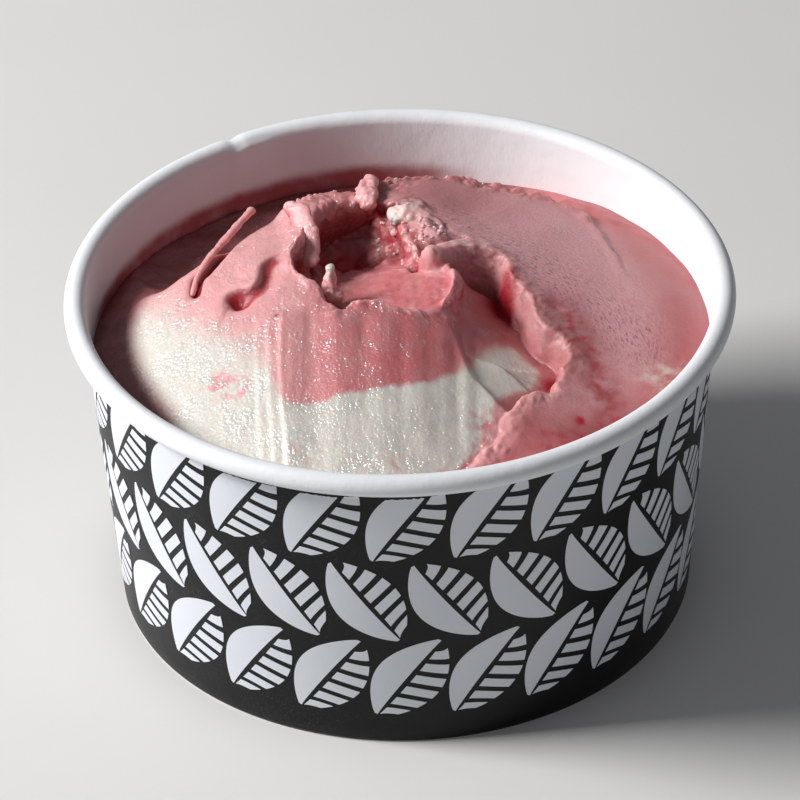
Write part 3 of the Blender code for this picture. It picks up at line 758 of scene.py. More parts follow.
def sorbet_tints(top, points):
    """Shares of each colour and finish over the sorbet's top, from its form and where it was spread, with
    painted light on lit parts and painted shade in hollows and shadowed parts.
    """
    xy = top.xy
    count = round(math.sqrt(len(xy)))
    grid = points.reshape(count, count, 3)
    height = grid[:, :, 2]
    hollow = (blurred(height, 30) - height).ravel()
    steep = 1 - np.abs(outward(grid)[:, :, 2]).ravel()
    reach = lengths(xy) / top.radius
    angle = angle_round(xy)
    from_sweep, passed, _ = beside(xy, SWEEP_EDGE)
    # Where the swept layer's lip is painted paler as lit, and where the overhang below it is painted
    # darker as shade
    lit_lip = bell(np.clip(np.abs(from_sweep - 0.4) - 1, 0, None), 1.2) * ease(0.28, 0.34, passed)
    shade_under_lip = bell(np.clip(-from_sweep - 0.6, 0, None), 1.7) * band(0.3, 0.36, 0.66, 0.8, passed)
    white = white_share(xy, reach, angle) * (1 - top.swept_share) * (1 - 0.9 * shade_under_lip)
    smeared = close_to(xy, PALE_PATCHES) * np.clip(0.8 + 0.8 * rugged(xy, 1.8, 85), 0, 1.1)
    white = np.maximum(white, smeared * ease(0.9, 0.6, steep))

    # Frost and its specks on the swept layer
    from_frost, _, _ = beside(xy, SWEEP_FROST)
    from_red, _, _ = beside(xy, SWEEP_RED)
    level = np.clip(top.swept_share * 1.6 - 0.6, 0, 1)
    # The swept layer's far back is painted darker as shade: less frost there and more dark raspberry
    shaded_far_back = ease(12, 26, xy[:, 1]) * ease(24, 10, xy[:, 0])
    frost = level * (1 - 0.6 * shaded_far_back) * (1 - 0.8 * lit_lip)
    frost *= 1 - bell(from_red, 4.2) * (0.75 + 0.5 * rugged(xy, 2.2, 87))
    frost *= ease(-26, -16, xy[:, 1]) * ease(0.93, 0.74, reach)
    speck = np.clip(bell(from_frost, 3.6) + 0.35 * bell(from_frost, 9), 0, 1)
    speck *= level * ease(1.0, 0.9, reach)

    # Juice colour on steep torn faces, in real drops and along the red band, and as painted shade in
    # hollows, pits, the flake's groove, the tear's lower side, under the lip and in the cave
    juice_and_shade = 0.9 * ease(0.3, 1.6, hollow) + 0.5 * ease(0.5, 0.9, steep)
    juice_and_shade *= 1 - 0.9 * np.maximum(lit_lip, 0.85 * shade_under_lip)
    juice_and_shade += close_to(xy, JUICE_AND_PIT_SHADE_SPOTS) + 0.5 * level * bell(from_red, 3.6) * (0.7 + rugged(xy, 1.6, 89))
    # Painted shadow in dark red in the flake's groove and on the tear's lower side
    for line, offset, width in ((FLAKE, -0.6, 0.8), (TEAR_EDGE, -0.4, 1.1)):
        distance, along, _ = beside(xy, line)
        juice_and_shade += 0.85 * bell(distance - offset, width) * band(0, 0.1, 0.9, 1, along)
    # Painted shade in dark red under the lip and in the crater's hollows, and juice colour close to the
    # wall
    juice_and_shade += 0.25 * shade_under_lip * (1 - top.swept_share)
    juice_and_shade += 0.4 * ease(0.95, 1.0, reach) + 0.5 * top.crater_share * ease(-0.5, 1.5, hollow)

    # Pale crests and painted light, painted shade in dark raspberry, and the wet glaze
    lower = (1 - top.swept_share) * (1 - top.crater_share)
    # Paler on convex crests and along the back edge's step, and painted light: paler towards the lit left
    # of the scooped part and on the swept layer's lit lip
    pale = np.maximum(ease(0.1, 0.9, -hollow), 0.9 * lower * ease(-1, -20, xy[:, 0]))
    past_back, along, _ = beside(xy, BACK_EDGE)
    pale += 0.9 * bell(past_back - 0.3, 0.4) * ease(0.36, 0.28, along) + 0.7 * lit_lip
    # Painted shadow in dark raspberry on the shelf behind the back edge and along the left wall, where
    # the rim's shadow falls
    painted_shade = 1.6 * ease(0, -1.5, past_back) * ease(0.3, 0.5, along)
    painted_shade += 1.5 * ease(0.78, 0.93, reach) * band(110, 130, 200, 250, angle)
    # Painted shade on the scooped part's right, which turns away from the light, in dark raspberry and
    # juice colours
    shaded = lower * ease(-7, 7, xy[:, 0]) * ease(-24, -12, xy[:, 1])
    painted_shade += 0.15 * shaded
    juice_and_shade += 0.22 * shaded
    # Painted shade in dark raspberry along the swept layer's red band, near the wall, at its far back, in
    # the crater's cave and under the lip
    painted_shade += level * (0.35 * bell(from_red, 4.5) + 0.1 * ease(0.78, 0.94, reach) + 0.5 * shaded_far_back)
    painted_shade += 0.6 * top.crater_share * ease(9, 15, xy[:, 1]) + 0.35 * shade_under_lip
    wet = (1 - top.swept_share) * (1 - shade_under_lip) * (1 - 0.7 * top.crater_share)
    wet *= (1 - 0.7 * np.clip(juice_and_shade, 0, 1)) * (1 - 0.6 * np.clip(painted_shade, 0, 1))
    return dict(zip(TINTS, (white, frost, speck, juice_and_shade, pale, painted_shade, wet)))


def store(mesh, name, values):
    """Keeps a value for each of the first vertices in an attribute of the mesh."""
    field = mesh.attributes.new(name, "FLOAT", "POINT")
    filled = np.zeros(len(mesh.vertices), np.float32)
    filled[: len(values)] = np.clip(values, 0, 1)
    field.data.foreach_set("value", filled)


def read_places(mesh):
    places = np.empty(len(mesh.vertices) * 3)
    mesh.vertices.foreach_get("co", places)
    return places.reshape(-1, 3)


def write_places(mesh, places):
    mesh.vertices.foreach_set("co", np.ascontiguousarray(places, float).ravel())
    mesh.update()


def sorbet_finish(colours):
    """Icy sorbet: a wet glaze on the scooped part, dusty frost with specks on the swept part, pale tints
    partly painted as light, and dark raspberry and juice tints partly painted as shade.
    """
    finish, shader, place = new_finish("sorbet", {
        "Subsurface Weight": 0.65, "Subsurface Radius": (1.0, 0.36, 0.3), "Subsurface Scale": 1.3 * MM,
        "Specular IOR Level": 0.4,
    })
    white, frost, speck, juice_and_shade, pale, painted_shade, wet = (place.attribute(name) for name in TINTS)
    mottle = place.cloud(3.2, 3, 0.6)
    bands = place.stretched(1, 0.08, 0.08).cloud(2.6, 2)
    grain = place.cloud(0.45, 3, 0.65)
    ice = place.grains(0.42)
    streaks = swirl_streaks(place, 0.3)

    tone = (0.5 * mottle + 0.5 * bands).between(0.38, 0.62)
    raspberry = tone.paint(colours.raspberry, colours.raspberry_mid)
    # Pale raspberry on crests, partly painted light on the lit left and the lip
    crested_and_lit = (0.8 * pale + 0.35 * (grain - 0.45)).paint(raspberry, colours.raspberry_pale_and_lit)
    # Dark raspberry painted in as shade
    with_painted_shade = (painted_shade * (0.9 + 0.8 * (mottle - 0.5))).paint(crested_and_lit, colours.raspberry_painted_shade)
    dusted = (frost * (0.65 + 0.6 * (grain - 0.3))).paint(with_painted_shade, colours.frost)
    specked = (speck * streaks.between(0.46, 0.7)).paint(dusted, colours.speck)
    # Juice colour, also painted in as shade in hollows, pits and under the lip
    juiced_and_shaded = (juice_and_shade + 0.4 * (grain - 0.5)).between(0.15, 0.95).paint(specked, colours.juice_and_shade)
    creamy = (white + 0.25 * (grain - 0.5)).between(0.15, 0.9).paint(juiced_and_shaded, colours.white)
    creamy.into(shader, "Base Color")
    (0.42 + 0.2 * frost + 0.2 * (grain - 0.5)).into(shader, "Roughness")
    ripples = wet * place.stretched(1, 0.45, 0.6).cloud(1.2, 2)
    soft = (grain * (0.35 + 0.5 * frost)).relief(0.18, over=ripples.relief(0.10))
    soft.into(shader, "Normal")

    glaze = place.tree.nodes.new("ShaderNodeBsdfPrincipled")
    set_constants(glaze, {"Base Color": (0.95, 0.97, 1, 1), "Metallic": 1, "Roughness": 0.2})
    (ice * 0.6 + grain * 0.4).relief(0.42, over=ripples.relief(0.5)).into(glaze, "Normal")
    share = wet * (0.02 + 0.13 * mottle.between(0.42, 0.62)) + 0.012
    place.cover(shader, glaze, share)
    return finish


def swirl_streaks(place, size):
    """Streaks from 0 to 1 along the arcs in which the sweep was spread."""
    x, y, z = SWEEP_TURN[0] * MM, SWEEP_TURN[1] * MM, 0
    away = place.node("ShaderNodeVectorMath", {0: place, 1: (x, y, z)}, operation="SUBTRACT")
    east = away.part("X")
    north = away.part("Y")
    distance = east.math("SQRT", east * east + north * north)
    turn = east.math("ARCTAN2", north, east) * (7 * MM)
    bent = east.node("ShaderNodeCombineXYZ", {"X": distance, "Y": turn})
    return bent.cloud(size, 4, 0.7, 0.3)


def board_finish(colours):
    """Coated white board, lighter inside the cup partly as painted light; on the left and behind, where
    sorbet has touched the wall, pink smears, a faint pink tint painted as shade, and a dark red stain
    that is partly painted shade.
    """
    finish, shader, place = new_finish("white_board", {"Specular IOR Level": 0.4})
    x = place.part("X") / MM
    y = place.part("Y") / MM
    z = place.part("Z") / MM
    inside = x.math("SQRT", x * x + y * y).between(43.4, 42.6)
    # Pink smears on the left and behind, with a faint even pink tint over that side painted as shade
    side = ((y * 0.77 - x * 0.64) / 42).between(-0.3, 0.7)
    smear_and_shade_tint = place.cloud(9, 3, 0.5, 0.8).between(0.35, 0.7) * side * z.between(48, 41)
    # Dark red just above the sorbet on the back-left: partly sorbet stain, partly painted shade on that
    # shaded side
    shaded = ((y * 0.8 - x * 0.6) / 42).between(0.5, 0.85)
    near = z.between(41.4, 38.6) * shaded * (0.4 + 0.8 * place.cloud(5, 3, 0.6))
    # The inside's board is lighter than the rim's board, partly as painted light inside the cup
    plain = inside.paint(colours.board, colours.inner_board_lit)
    tinted = (inside * (0.02 * side + 0.07 * smear_and_shade_tint)).paint(plain, colours.smear_and_shade_tint)
    stained_and_shaded = (inside * near).between(0, 0.9).paint(tinted, colours.stain_and_shade)
    stained_and_shaded.into(shader, "Base Color")
    (0.42 + 0.2 * place.cloud(3, 3)).into(shader, "Roughness")
    fibres = place.stretched(1, 1, 0.35).cloud(0.35, 3, 0.6)
    fibres.relief(0.03, over=place.cloud(4, 2).relief(0.12)).into(shader, "Normal")
    return finish


def print_finish(name, colour, colours):
    """Printed board with a soft shine, and pale frost specks on its left only, partly painted sheen where
    the light falls.
    """
    finish, shader, place = new_finish(name, {"Specular IOR Level": 0.22})
    x = place.part("X") / MM
    z = place.part("Z") / MM
    specks = place.cloud(0.35, 3, 0.7).between(0.52, 0.72)
    # Pale frost specks on the lit left only, partly painted sheen
    frost_and_sheen_left = place.cloud(6, 3, 0.6).between(0.4, 0.65) * x.between(8, -36)
    (0.10 * specks * frost_and_sheen_left).paint(colour, colours.board).into(shader, "Base Color")
    (0.36 + 0.2 * specks * frost_and_sheen_left + 0.12 * place.cloud(5, 3)).into(shader, "Roughness")
    fibres = place.stretched(1, 1, 0.4).cloud(0.5, 3, 0.6)
    fibres.relief(0.02, over=place.cloud(7, 2).relief(0.1)).into(shader, "Normal")
    return finish


def deselect():
    if bpy.context.object and bpy.context.object.mode != "OBJECT":
        bpy.ops.object.mode_set(mode="OBJECT")
    bpy.ops.object.select_all(action="DESELECT")


def name_piece(name):
    piece = bpy.context.object
    piece.name = piece.data.name = name
    return piece


def apply_place():
    bpy.ops.object.transform_apply(location=True, rotation=True, scale=True)


def finish_with(piece, kind, **settings):
    """Adds a modifier and applies it."""
    added = piece.modifiers.new(kind.title(), kind)
    for name, value in settings.items():
        setattr(added, name, value)
    bpy.context.view_layer.objects.active = piece
    bpy.ops.object.modifier_apply(modifier=added.name)


def ring_by_ring(rings, segments):
    """An open turned shell: a circle of the first ring's size, extruded through the other rings."""
    radius, height = rings[0]
    place = (0, 0, height * MM)
    bpy.ops.mesh.primitive_circle_add(vertices=segments, radius=radius * MM, location=place)
    bpy.ops.object.mode_set(mode="EDIT")
    bpy.ops.mesh.select_mode(type="EDGE")
    bpy.ops.mesh.select_all(action="SELECT")
    for (before, low), (after, high) in zip(rings, rings[1:]):
        bpy.ops.mesh.extrude_region_move(TRANSFORM_OT_translate={"value": (0, 0, (high - low) * MM)})
        grown = after / before
        bpy.ops.transform.resize(value=(grown, grown, 1), center_override=(0, 0, high * MM))
    bpy.ops.mesh.select_all(action="SELECT")
    bpy.ops.mesh.normals_make_consistent(inside=False)
    bpy.ops.object.mode_set(mode="OBJECT")
    apply_place()


def cup_profile(sizes):
    """The board's middle line from the fold round the base, up the wall and round the curl."""
    board = sizes.board / MM
    inset, foot = 2 * (board + FOLD_GAP), board / 2
    fold = [(wall_radius(sizes, z) - inset, z) for z in np.linspace(FOLD_HEIGHT, foot + 0.4, 4)]
    outer = wall_radius(sizes, foot)
    turn_in = [(outer - inset + 0.12, foot + 0.1), (outer - inset + 0.4, foot)]
    turn_out = [(outer - 0.4, foot), (outer - 0.1, foot + 0.1)]
    across, up = curl_centre(sizes)
    wall = [(wall_radius(sizes, z), z) for z in np.linspace(foot + 0.4, up, WALL_STEPS + 1)[:-1]]
    curl = (sizes.curl_diameter - sizes.board) / 2 / MM
    turns = math.pi - np.linspace(0, CURL_TURN, CURL_STEPS + 1)
    rim = [(across + curl * math.cos(turn), up + curl * math.sin(turn)) for turn in turns]
    return [*fold, *turn_in, *turn_out, *wall, *rim]


def wear_board(sizes, places):
    """The wall's side seam, the notch that it leaves in the rim, and soft dents in the board."""
    x, y, z = places.T / MM
    radius, angle = np.hypot(x, y), np.arctan2(y, x)
    past_seam = (angle - SEAM_ANGLE + math.pi) % (2 * math.pi) - math.pi
    inner = ease(0.1, -0.1, radius - wall_radius(sizes, z)) * band(6, 9, 46.8, 47.6, z)
    overlap = ease(-0.16, -0.12, past_seam) * (past_seam < 0)
    shift = -SEAM_STEP * overlap * inner
    wall = band(3, 12, 41, 45.2, z)
    shift += wall * 0.10 * rough(np.stack([angle * 3.1, z / 14], 1), 1, 3)
    shift -= 0.35 * bell(z - 43.6, 1.1) * bell(angle + 2.0, 0.45)
    drop = RIM_NOTCH * bell(past_seam + 0.012, 0.02) * ease(45.5, 47.5, z)
    wave = 0.10 * np.sin(3 * angle + 0.7) * ease(30, 47, z)
    grown = (radius + shift + wave) / radius
    return np.stack([x * grown, y * grown, z - drop], 1) * MM


def leaf_half(side, first, last, slant, columns):
    """A patch between the leaf's vein and its outline, from one share of its length to another."""
    bpy.ops.mesh.primitive_grid_add(x_subdivisions=columns, y_subdivisions=4, size=2)
    apply_place()
    patch = bpy.context.object
    flat = read_places(patch.data)
    across = (flat[:, 1] + 1) / 2
    along = np.clip(first + (last - first) * (flat[:, 0] + 1) / 2 + slant * across, 0, 1)
    outline = LEAF_WIDTH * np.sin(math.pi * along) ** 0.8
    sideways = side * (LEAF_VEIN / 2 * np.sin(math.pi * along) ** 0.5 + across * outline)
    write_places(patch.data, np.stack([sideways, (along - 0.5) * LEAF_LENGTH, np.zeros(len(flat))], 1))
    return patch


def join(objects):
    deselect()
    for obj in objects:
        obj.select_set(True)
    bpy.context.view_layer.objects.active = objects[0]
    bpy.ops.object.join()
    return objects[0]


def leaf_motif():
    """A leaf with one plain half and one half of slanting bars, flat, in millimetres."""
    halves = [leaf_half(-1, 0.02, 0.98, 0, 28)]
    for bar in range(LEAF_BARS):
        first = BAR_START + bar * BAR_PITCH
        halves.append(leaf_half(1, first, first + BAR_LENGTH, BAR_SLANT, 4))
    return join(halves)


def wrapped(sizes, flat, column, row):
    """Puts a flat leaf on the sleeve, tilted to one side or the other by rows."""
    pitch = 2 * math.pi / LEAF_COLUMNS
    lean = LEAF_TILT if row % 2 else -LEAF_TILT
    across = flat[:, 0] * math.cos(lean) - flat[:, 1] * math.sin(lean)
    up = flat[:, 0] * math.sin(lean) + flat[:, 1] * math.cos(lean)
    height = LEAF_ROWS[row] + up
    radius = wall_radius(sizes, height) + sizes.board / MM / 2 + INK
    angle = (column + row / 2) * pitch + across / wall_radius(sizes, LEAF_ROWS[row])
    return wear_board(sizes, np.stack([radius * np.cos(angle), radius * np.sin(angle), height], 1) * MM)


def clod(path, face, widths, depths, rugged, white, pale):
    """A rough rounded bar along a line in space, with its half widths and half depths at even steps."""
    line = smooth_curve(path, 40)
    length = lengths(np.diff(line, axis=0)).sum()
    bpy.ops.mesh.primitive_uv_sphere_add(segments=40, ring_count=30 + round(length * 5), radius=1)
    bar = bpy.context.object
    ball = read_places(bar.data)
    share = np.arccos(np.clip(ball[:, 2], -1, 1)) / math.pi
    step = share * (len(line) - 1)
    centre = np.stack([np.interp(step, range(len(line)), part) for part in line.T], 1)
    run = np.stack([np.interp(step, range(len(line)), part) for part in np.gradient(line, axis=0).T], 1)
    across = np.cross(run, face)
    across /= lengths(across)[:, None]
    up = np.cross(across, run)
    up /= lengths(up)[:, None]
    from_end = length * np.minimum(share, 1 - share) / at_share(share, widths)
    round_end = np.sqrt(1 - np.clip(1 - from_end, 0, 1) ** 2)
    turn = ball[:, :2] / (lengths(ball[:, :2])[:, None] + 1e-9)
    aside = (turn[:, 0] * at_share(share, widths) * round_end)[:, None] * across
    aside += (turn[:, 1] * at_share(share, depths) * round_end)[:, None] * up
    skin = centre + aside
    uneven = rugged * (bumpy(skin, 1.9, 7) + 0.6 * bumpy(skin, 0.8, 9))
    write_places(bar.data, (skin + aside * uneven[:, None]) * MM)
    tint_lump(bar.data, at_share(share, white), pale, aside[:, 2] / (lengths(aside) + 1e-9))
    return bar


def tint_lump(mesh, white, pale, upward):
    """Stores the colours of a lump: icy and paler on top, partly as painted light, and painted shade in
    the juice colour where it faces down.
    """
    below = ease(0.1, -0.8, upward)
    for name, level in (("white", white), ("pale", pale), ("wet", 0.4)):
        store(mesh, name, level * (1 - below))
    store(mesh, "juice_and_shade", 0.4 * below)


def scattered_crumbs(sorbet):
    """Small icy crumbs, half sunk in the sorbet along the lines where it has torn."""
    bpy.ops.mesh.primitive_ico_sphere_add(subdivisions=3, radius=1)
    ball = bpy.context.object
    round_places = read_places(ball.data)
    chance = np.random.default_rng(5)
    scattered = []
    for line, spread, count, smallest, largest, white in CRUMBS:
        curve = smooth_curve(line)
        for _ in range(count):
            x, y = curve[chance.integers(len(curve))] + chance.normal(0, spread, 2)
            hit, place, normal, _ = sorbet.ray_cast((x * MM, y * MM, ABOVE_SORBET), (0, 0, -1))
            if not hit:
                raise ValueError("a crumb lies outside the sorbet")
            radius = smallest + (largest - smallest) * chance.random() ** 2
            squash = 1 + 0.25 * chance.normal(size=3).clip(-1, 1)
            shape = round_places * squash * radius
            centre = np.array(place) / MM - 0.4 * radius * np.array(normal)
            shape = shape * (1 + 0.6 * bumpy(shape + centre, 1.3 * radius, 3))[:, None] + centre
            crumb = bpy.data.objects.new("crumb", ball.data.copy())
            bpy.context.collection.objects.link(crumb)
            write_places(crumb.data, shape * MM)
            tint_lump(crumb.data, np.full(len(shape), white), 0.8, round_places[:, 2])
            scattered.append(crumb)
    bpy.data.objects.remove(ball)
    return scattered


def seat(piece, body, slot, *nodes):
    """Fixes a finished piece to its body and hides the solids that it stands for."""
    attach(piece, body)
    if nodes:
        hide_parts(*nodes)


def length_property(name, description, default):
    return FloatProperty(name=name, description=description, default=default, unit="LENGTH")


def colour_property(name, description, default):
    return FloatVectorProperty(
        name=name, description=description, subtype="COLOR", size=3, min=0, max=1, default=default
    )


class SorbetCupSizes(bpy.types.PropertyGroup):
    """Sizes of the cup and of its setting."""

    rim_diameter: length_property("Rim diameter", "Width of the rolled rim", RIM_WIDTH)
    cup_height: length_property("Cup height", "From the foot to the top of the rim", RIM_HEIGHT)
    foot_diameter: length_property("Foot diameter", "Width of the wall at the foot", 0.0802)
    board: length_property("Board", "Thickness of the cup's board", 0.0005)
    curl_diameter: length_property("Curl diameter", "Thickness of the rolled rim", 0.003)
    sorbet_cells: IntProperty(
        name="Sorbet cells", description="Cells along each side of the sorbet's grid",
        default=306, min=40, max=310,
    )
    floor_width: length_property("Floor width", "Width of the pale floor", 6.0)
    key_power: FloatProperty(
        name="Key light", description="Power of the large soft light", unit="POWER", default=13.7
    )
    fill: FloatProperty(
        name="Fill light", description="Strength of the light from all round", default=0.17
    )


class SorbetCupColours(bpy.types.PropertyGroup):
    """Colours of the sorbet, the board and the floor."""

    raspberry: colour_property("Raspberry", "The raspberry flavour's deeper tone", (0.56, 0.15, 0.158))
    raspberry_mid: colour_property("Mid raspberry", "The raspberry flavour's body", (0.63, 0.22, 0.225))
    # Pale icy raspberry, partly painted light on lit crests and the lip
    raspberry_pale_and_lit: colour_property("Pale raspberry", "Icy crests of the raspberry", (0.80, 0.43, 0.43))
    # Dark raspberry that is painted in as shade
    raspberry_painted_shade: colour_property("Deep raspberry", "Thick or shaded raspberry", (0.19, 0.042, 0.043))
    # Dark red juice colour, partly painted in as shade in pits and hollows
    juice_and_shade: colour_property("Juice", "Pits and freshly torn raspberry", (0.36, 0.012, 0.024))
    frost: colour_property("Frost", "Dusty frost on the swept layer", (0.67, 0.375, 0.385))
    speck: colour_property("Specks", "Dark specks in the frost", (0.27, 0.115, 0.135))
    white: colour_property("White flavour", "The cream-white flavour", (0.68, 0.64, 0.575))
    board: colour_property("Board", "The board at the rim and the base", (0.80, 0.81, 0.83))
    # Lighter than the rim's board, partly as painted light inside the cup
    inner_board_lit: colour_property("Inner board", "The coated board inside the cup", (0.93, 0.94, 0.96))
    # Pink of smeared sorbet, also used for a faint tint painted as shade
    smear_and_shade_tint: colour_property("Wash", "Sorbet smeared thinly on the board", (0.76, 0.56, 0.57))
    # Dark red of the stain, partly painted shade
    stain_and_shade: colour_property("Stain", "Sorbet left on the board above its edge", (0.40, 0.10, 0.11))
    sleeve: colour_property("Sleeve", "The printed ground", (0.004, 0.004, 0.0045))
    ink: colour_property("Ink", "The print's leaves", (0.72, 0.75, 0.80))
    floor: colour_property("Floor", "The floor", (0.72, 0.71, 0.69))


def settings(context):
    return context.scene.sorbet_cup_sizes, context.scene.sorbet_cup_colours


class SORBETCUP_OT_board(bpy.types.Operator):
    """Models the cup's wall with its rolled rim, seam and dents"""

    bl_idname = "sorbet_cup.board"
    bl_label = "Cup Wall"

    def execute(self, context):
        sizes, colours = settings(context)
        deselect()
        ring_by_ring(cup_profile(sizes), ROUND_STEPS)
        piece = name_piece("cup_board")
        finish_with(piece, "SOLIDIFY", thickness=sizes.board, offset=0, use_even_offset=True)
        piece.data.materials.append(board_finish(colours))
        piece.data.materials.append(print_finish("printed_sleeve", colours.sleeve, colours))
        places = read_places(piece.data)
        write_places(piece.data, wear_board(sizes, places))
        lip = (sizes.cup_height - sizes.curl_diameter) / MM
        for face in piece.data.polygons:
            x, y, z = face.center / MM
            outside = math.hypot(x, y) > wall_radius(sizes, z) + OUTER_FACE
            face.material_index = int(outside and SLEEVE_LOW < z < lip)
        bpy.ops.object.shade_smooth_by_angle(angle=WALL_SHARP)
        seat(piece, BODY, "cup_board", "cup_wall")
        return {"FINISHED"}


class SORBETCUP_OT_base(bpy.types.Operator):
    """Gives the cup's base its board finish"""

    bl_idname = "sorbet_cup.base"
    bl_label = "Cup Base"

    def execute(self, context):
        _, colours = settings(context)
        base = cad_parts["cup_base"]
        base.data.materials.clear()
        base.data.materials.append(board_finish(colours))
        return {"FINISHED"}


class SORBETCUP_OT_print(bpy.types.Operator):
    """Prints the sleeve with rows of leaves, each with a plain half and a barred half"""

    bl_idname = "sorbet_cup.print"
    bl_label = "Sleeve Print"

    def execute(self, context):
        sizes, colours = settings(context)
        deselect()
        leaf = leaf_motif()
        flat = read_places(leaf.data)
        leaves = []
        for column in range(LEAF_COLUMNS):
            for row in range(len(LEAF_ROWS)):
                printed = bpy.data.objects.new("leaf", leaf.data.copy())
                context.collection.objects.link(printed)
                write_places(printed.data, wrapped(sizes, flat, column, row))
                leaves.append(printed)
        bpy.data.objects.remove(leaf)
        join(leaves)
        piece = name_piece("cup_print")
        finish_with(piece, "SOLIDIFY", thickness=2 * INK * MM, offset=-1)
        piece.data.materials.append(print_finish("white_ink", colours.ink, colours))
        seat(piece, BODY, "cup_board")
        return {"FINISHED"}


class SORBETCUP_OT_sorbet(bpy.types.Operator):
    """Models the two flavours of sorbet as one spread and scraped mass"""

    bl_idname = "sorbet_cup.sorbet"
    bl_label = "Sorbet"

    def execute(self, context):
        sizes, colours = settings(context)
        deselect()
        cells = sizes.sorbet_cells
        bpy.ops.mesh.primitive_grid_add(x_subdivisions=cells, y_subdivisions=cells, size=2)
        piece = name_piece("sorbet")
        square = read_places(piece.data)[:, :2]
        count = round(math.sqrt(len(square)))
        bpy.ops.object.mode_set(mode="EDIT")
        bpy.ops.mesh.select_mode(type="EDGE")
        bpy.ops.mesh.select_all(action="DESELECT")
        bpy.ops.mesh.select_non_manifold()
        bpy.ops.mesh.extrude_region_move(TRANSFORM_OT_translate={"value": (0, 0, -1)})
        bpy.ops.mesh.edge_face_add()
        bpy.ops.object.mode_set(mode="OBJECT")

        radius = fill_radius(sizes, CONTACT_LEVEL)
        crowded = crowded_places(count, radius)
        top = shape_surface(disc_from_square(crowded.reshape(-1, 2)) * radius, radius, fine=True)
        points = place_top(sizes, top, count)
        skirt = read_places(piece.data)[count * count:, :2]
        column, row = np.rint((skirt.T + 1) / 2 * (count - 1)).astype(int)
        side = disc_from_square(crowded[row, column])
        ring = side / lengths(side)[:, None] * fill_radius(sizes, SORBET_FLOOR)
        floor = np.column_stack([ring, np.full(len(ring), SORBET_FLOOR)])
        write_places(piece.data, np.vstack([points, floor]) * MM)
        for name, share in sorbet_tints(top, points).items():
            store(piece.data, name, share)
        piece.data.materials.append(sorbet_finish(colours))
        bpy.ops.object.shade_smooth()
        seat(piece, BODY, "raspberry", "raspberry_sorbet", "white_sorbet")
        return {"FINISHED"}


class SORBETCUP_OT_flakes(bpy.types.Operator):
    """Adds the flakes, lumps and crumbs that stand free along the torn edges"""

    bl_idname = "sorbet_cup.flakes"
    bl_label = "Flakes"

    def execute(self, context):
        deselect()
        join([clod(*row) for row in CLODS] + scattered_crumbs(bpy.data.objects["sorbet"]))
        piece = name_piece("sorbet_flakes")
        piece.data.materials.append(bpy.data.materials["sorbet"])
        bpy.ops.object.shade_smooth()
        seat(piece, BODY, "raspberry")
        return {"FINISHED"}


class SORBETCUP_OT_stage(bpy.types.Operator):
    """Sets up the pale floor, the soft light and the camera"""

    bl_idname = "sorbet_cup.stage"
    bl_label = "Stage"

    def execute(self, context):
        sizes, colours = settings(context)
        deselect()
        bpy.ops.mesh.primitive_plane_add(size=sizes.floor_width)
        floor = name_piece("floor")
        bpy.ops.object.mode_set(mode="EDIT")
        bpy.ops.mesh.subdivide(number_cuts=8)
        bpy.ops.object.mode_set(mode="OBJECT")
        finish, shader, place = new_finish("floor", {"Roughness": 0.6, "Specular IOR Level": 0.3})
        tone = place.cloud(40, 3).paint(colours.floor, [0.94 * part for part in colours.floor])
        tone.into(shader, "Base Color")
        floor.data.materials.append(finish)
        add_light(sizes)
        add_camera(context)
        return {"FINISHED"}


def add_light(sizes):
    bpy.ops.object.light_add(type="AREA", location=KEY_PLACE)
    key = bpy.context.object
    key.rotation_euler = (Vector(KEY_AIM) - Vector(KEY_PLACE)).to_track_quat("-Z", "Y").to_euler()
    key.data.energy = sizes.key_power
    key.data.size = KEY_WIDTH
    world = bpy.data.worlds.new("room")
    world.use_nodes = True
    background = world.node_tree.nodes["Background"]
    background.inputs["Color"].default_value = opaque(ROOM_COLOUR)
    background.inputs["Strength"].default_value = sizes.fill
    bpy.context.scene.world = world
    bpy.context.scene.view_settings.view_transform = "Standard"


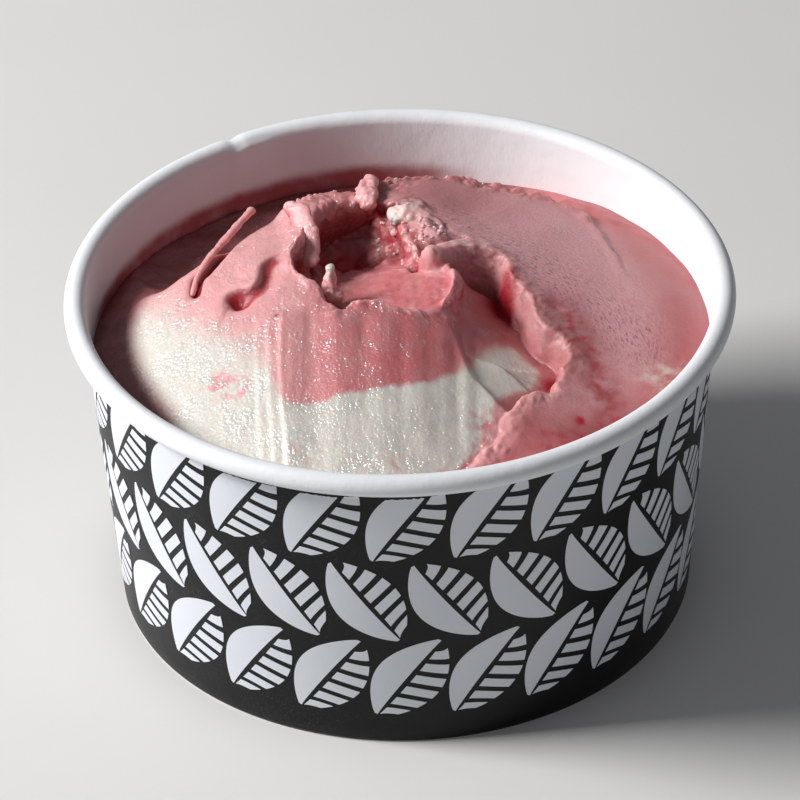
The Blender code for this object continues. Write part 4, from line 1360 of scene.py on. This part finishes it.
def add_camera(context):
    forward = Vector((0, math.cos(CAMERA_DROP), -math.sin(CAMERA_DROP)))
    right = Vector((1, 0, 0))
    up = right.cross(forward)
    turned_right = right * math.cos(CAMERA_ROLL) - up * math.sin(CAMERA_ROLL)
    turned_up = right * math.sin(CAMERA_ROLL) + up * math.cos(CAMERA_ROLL)
    view = Matrix((turned_right, turned_up, -forward)).transposed().to_4x4()
    view.translation = Vector(CAMERA_AIM) - forward * CAMERA_DISTANCE
    bpy.ops.object.camera_add()
    camera = context.object
    camera.matrix_world = view
    camera.data.lens = CAMERA_LENS
    camera.data.clip_end = 20
    context.scene.camera = camera


class SORBETCUP_PT_panel(bpy.types.Panel):
    """Lists the pieces to add, with their sizes and colours"""

    bl_idname = "SORBETCUP_PT_panel"
    bl_label = "Sorbet Cup"
    bl_space_type = "VIEW_3D"
    bl_region_type = "UI"
    bl_category = "Sorbet Cup"

    def draw(self, context):
        for piece in OPERATORS:
            self.layout.operator(piece.bl_idname)
        for group in settings(context):
            box = self.layout.box()
            for name in group.bl_rna.properties.keys():
                if name not in ("rna_type", "name"):
                    box.prop(group, name)


OPERATORS = (
    SORBETCUP_OT_stage, SORBETCUP_OT_board, SORBETCUP_OT_base, SORBETCUP_OT_print, SORBETCUP_OT_sorbet,
    SORBETCUP_OT_flakes,
)
CLASSES = (SorbetCupSizes, SorbetCupColours, *OPERATORS, SORBETCUP_PT_panel)


def register():
    for item in CLASSES:
        bpy.utils.register_class(item)
    bpy.types.Scene.sorbet_cup_sizes = PointerProperty(type=SorbetCupSizes)
    bpy.types.Scene.sorbet_cup_colours = PointerProperty(type=SorbetCupColours)


def unregister():
    del bpy.types.Scene.sorbet_cup_colours
    del bpy.types.Scene.sorbet_cup_sizes
    for item in reversed(CLASSES):
        bpy.utils.unregister_class(item)


def main():
    register()
    bpy.ops.sorbet_cup.stage()
    bpy.ops.sorbet_cup.board()
    bpy.ops.sorbet_cup.base()
    bpy.ops.sorbet_cup.print()
    bpy.ops.sorbet_cup.sorbet()
    bpy.ops.sorbet_cup.flakes()


if __name__ == "__main__":
    main()
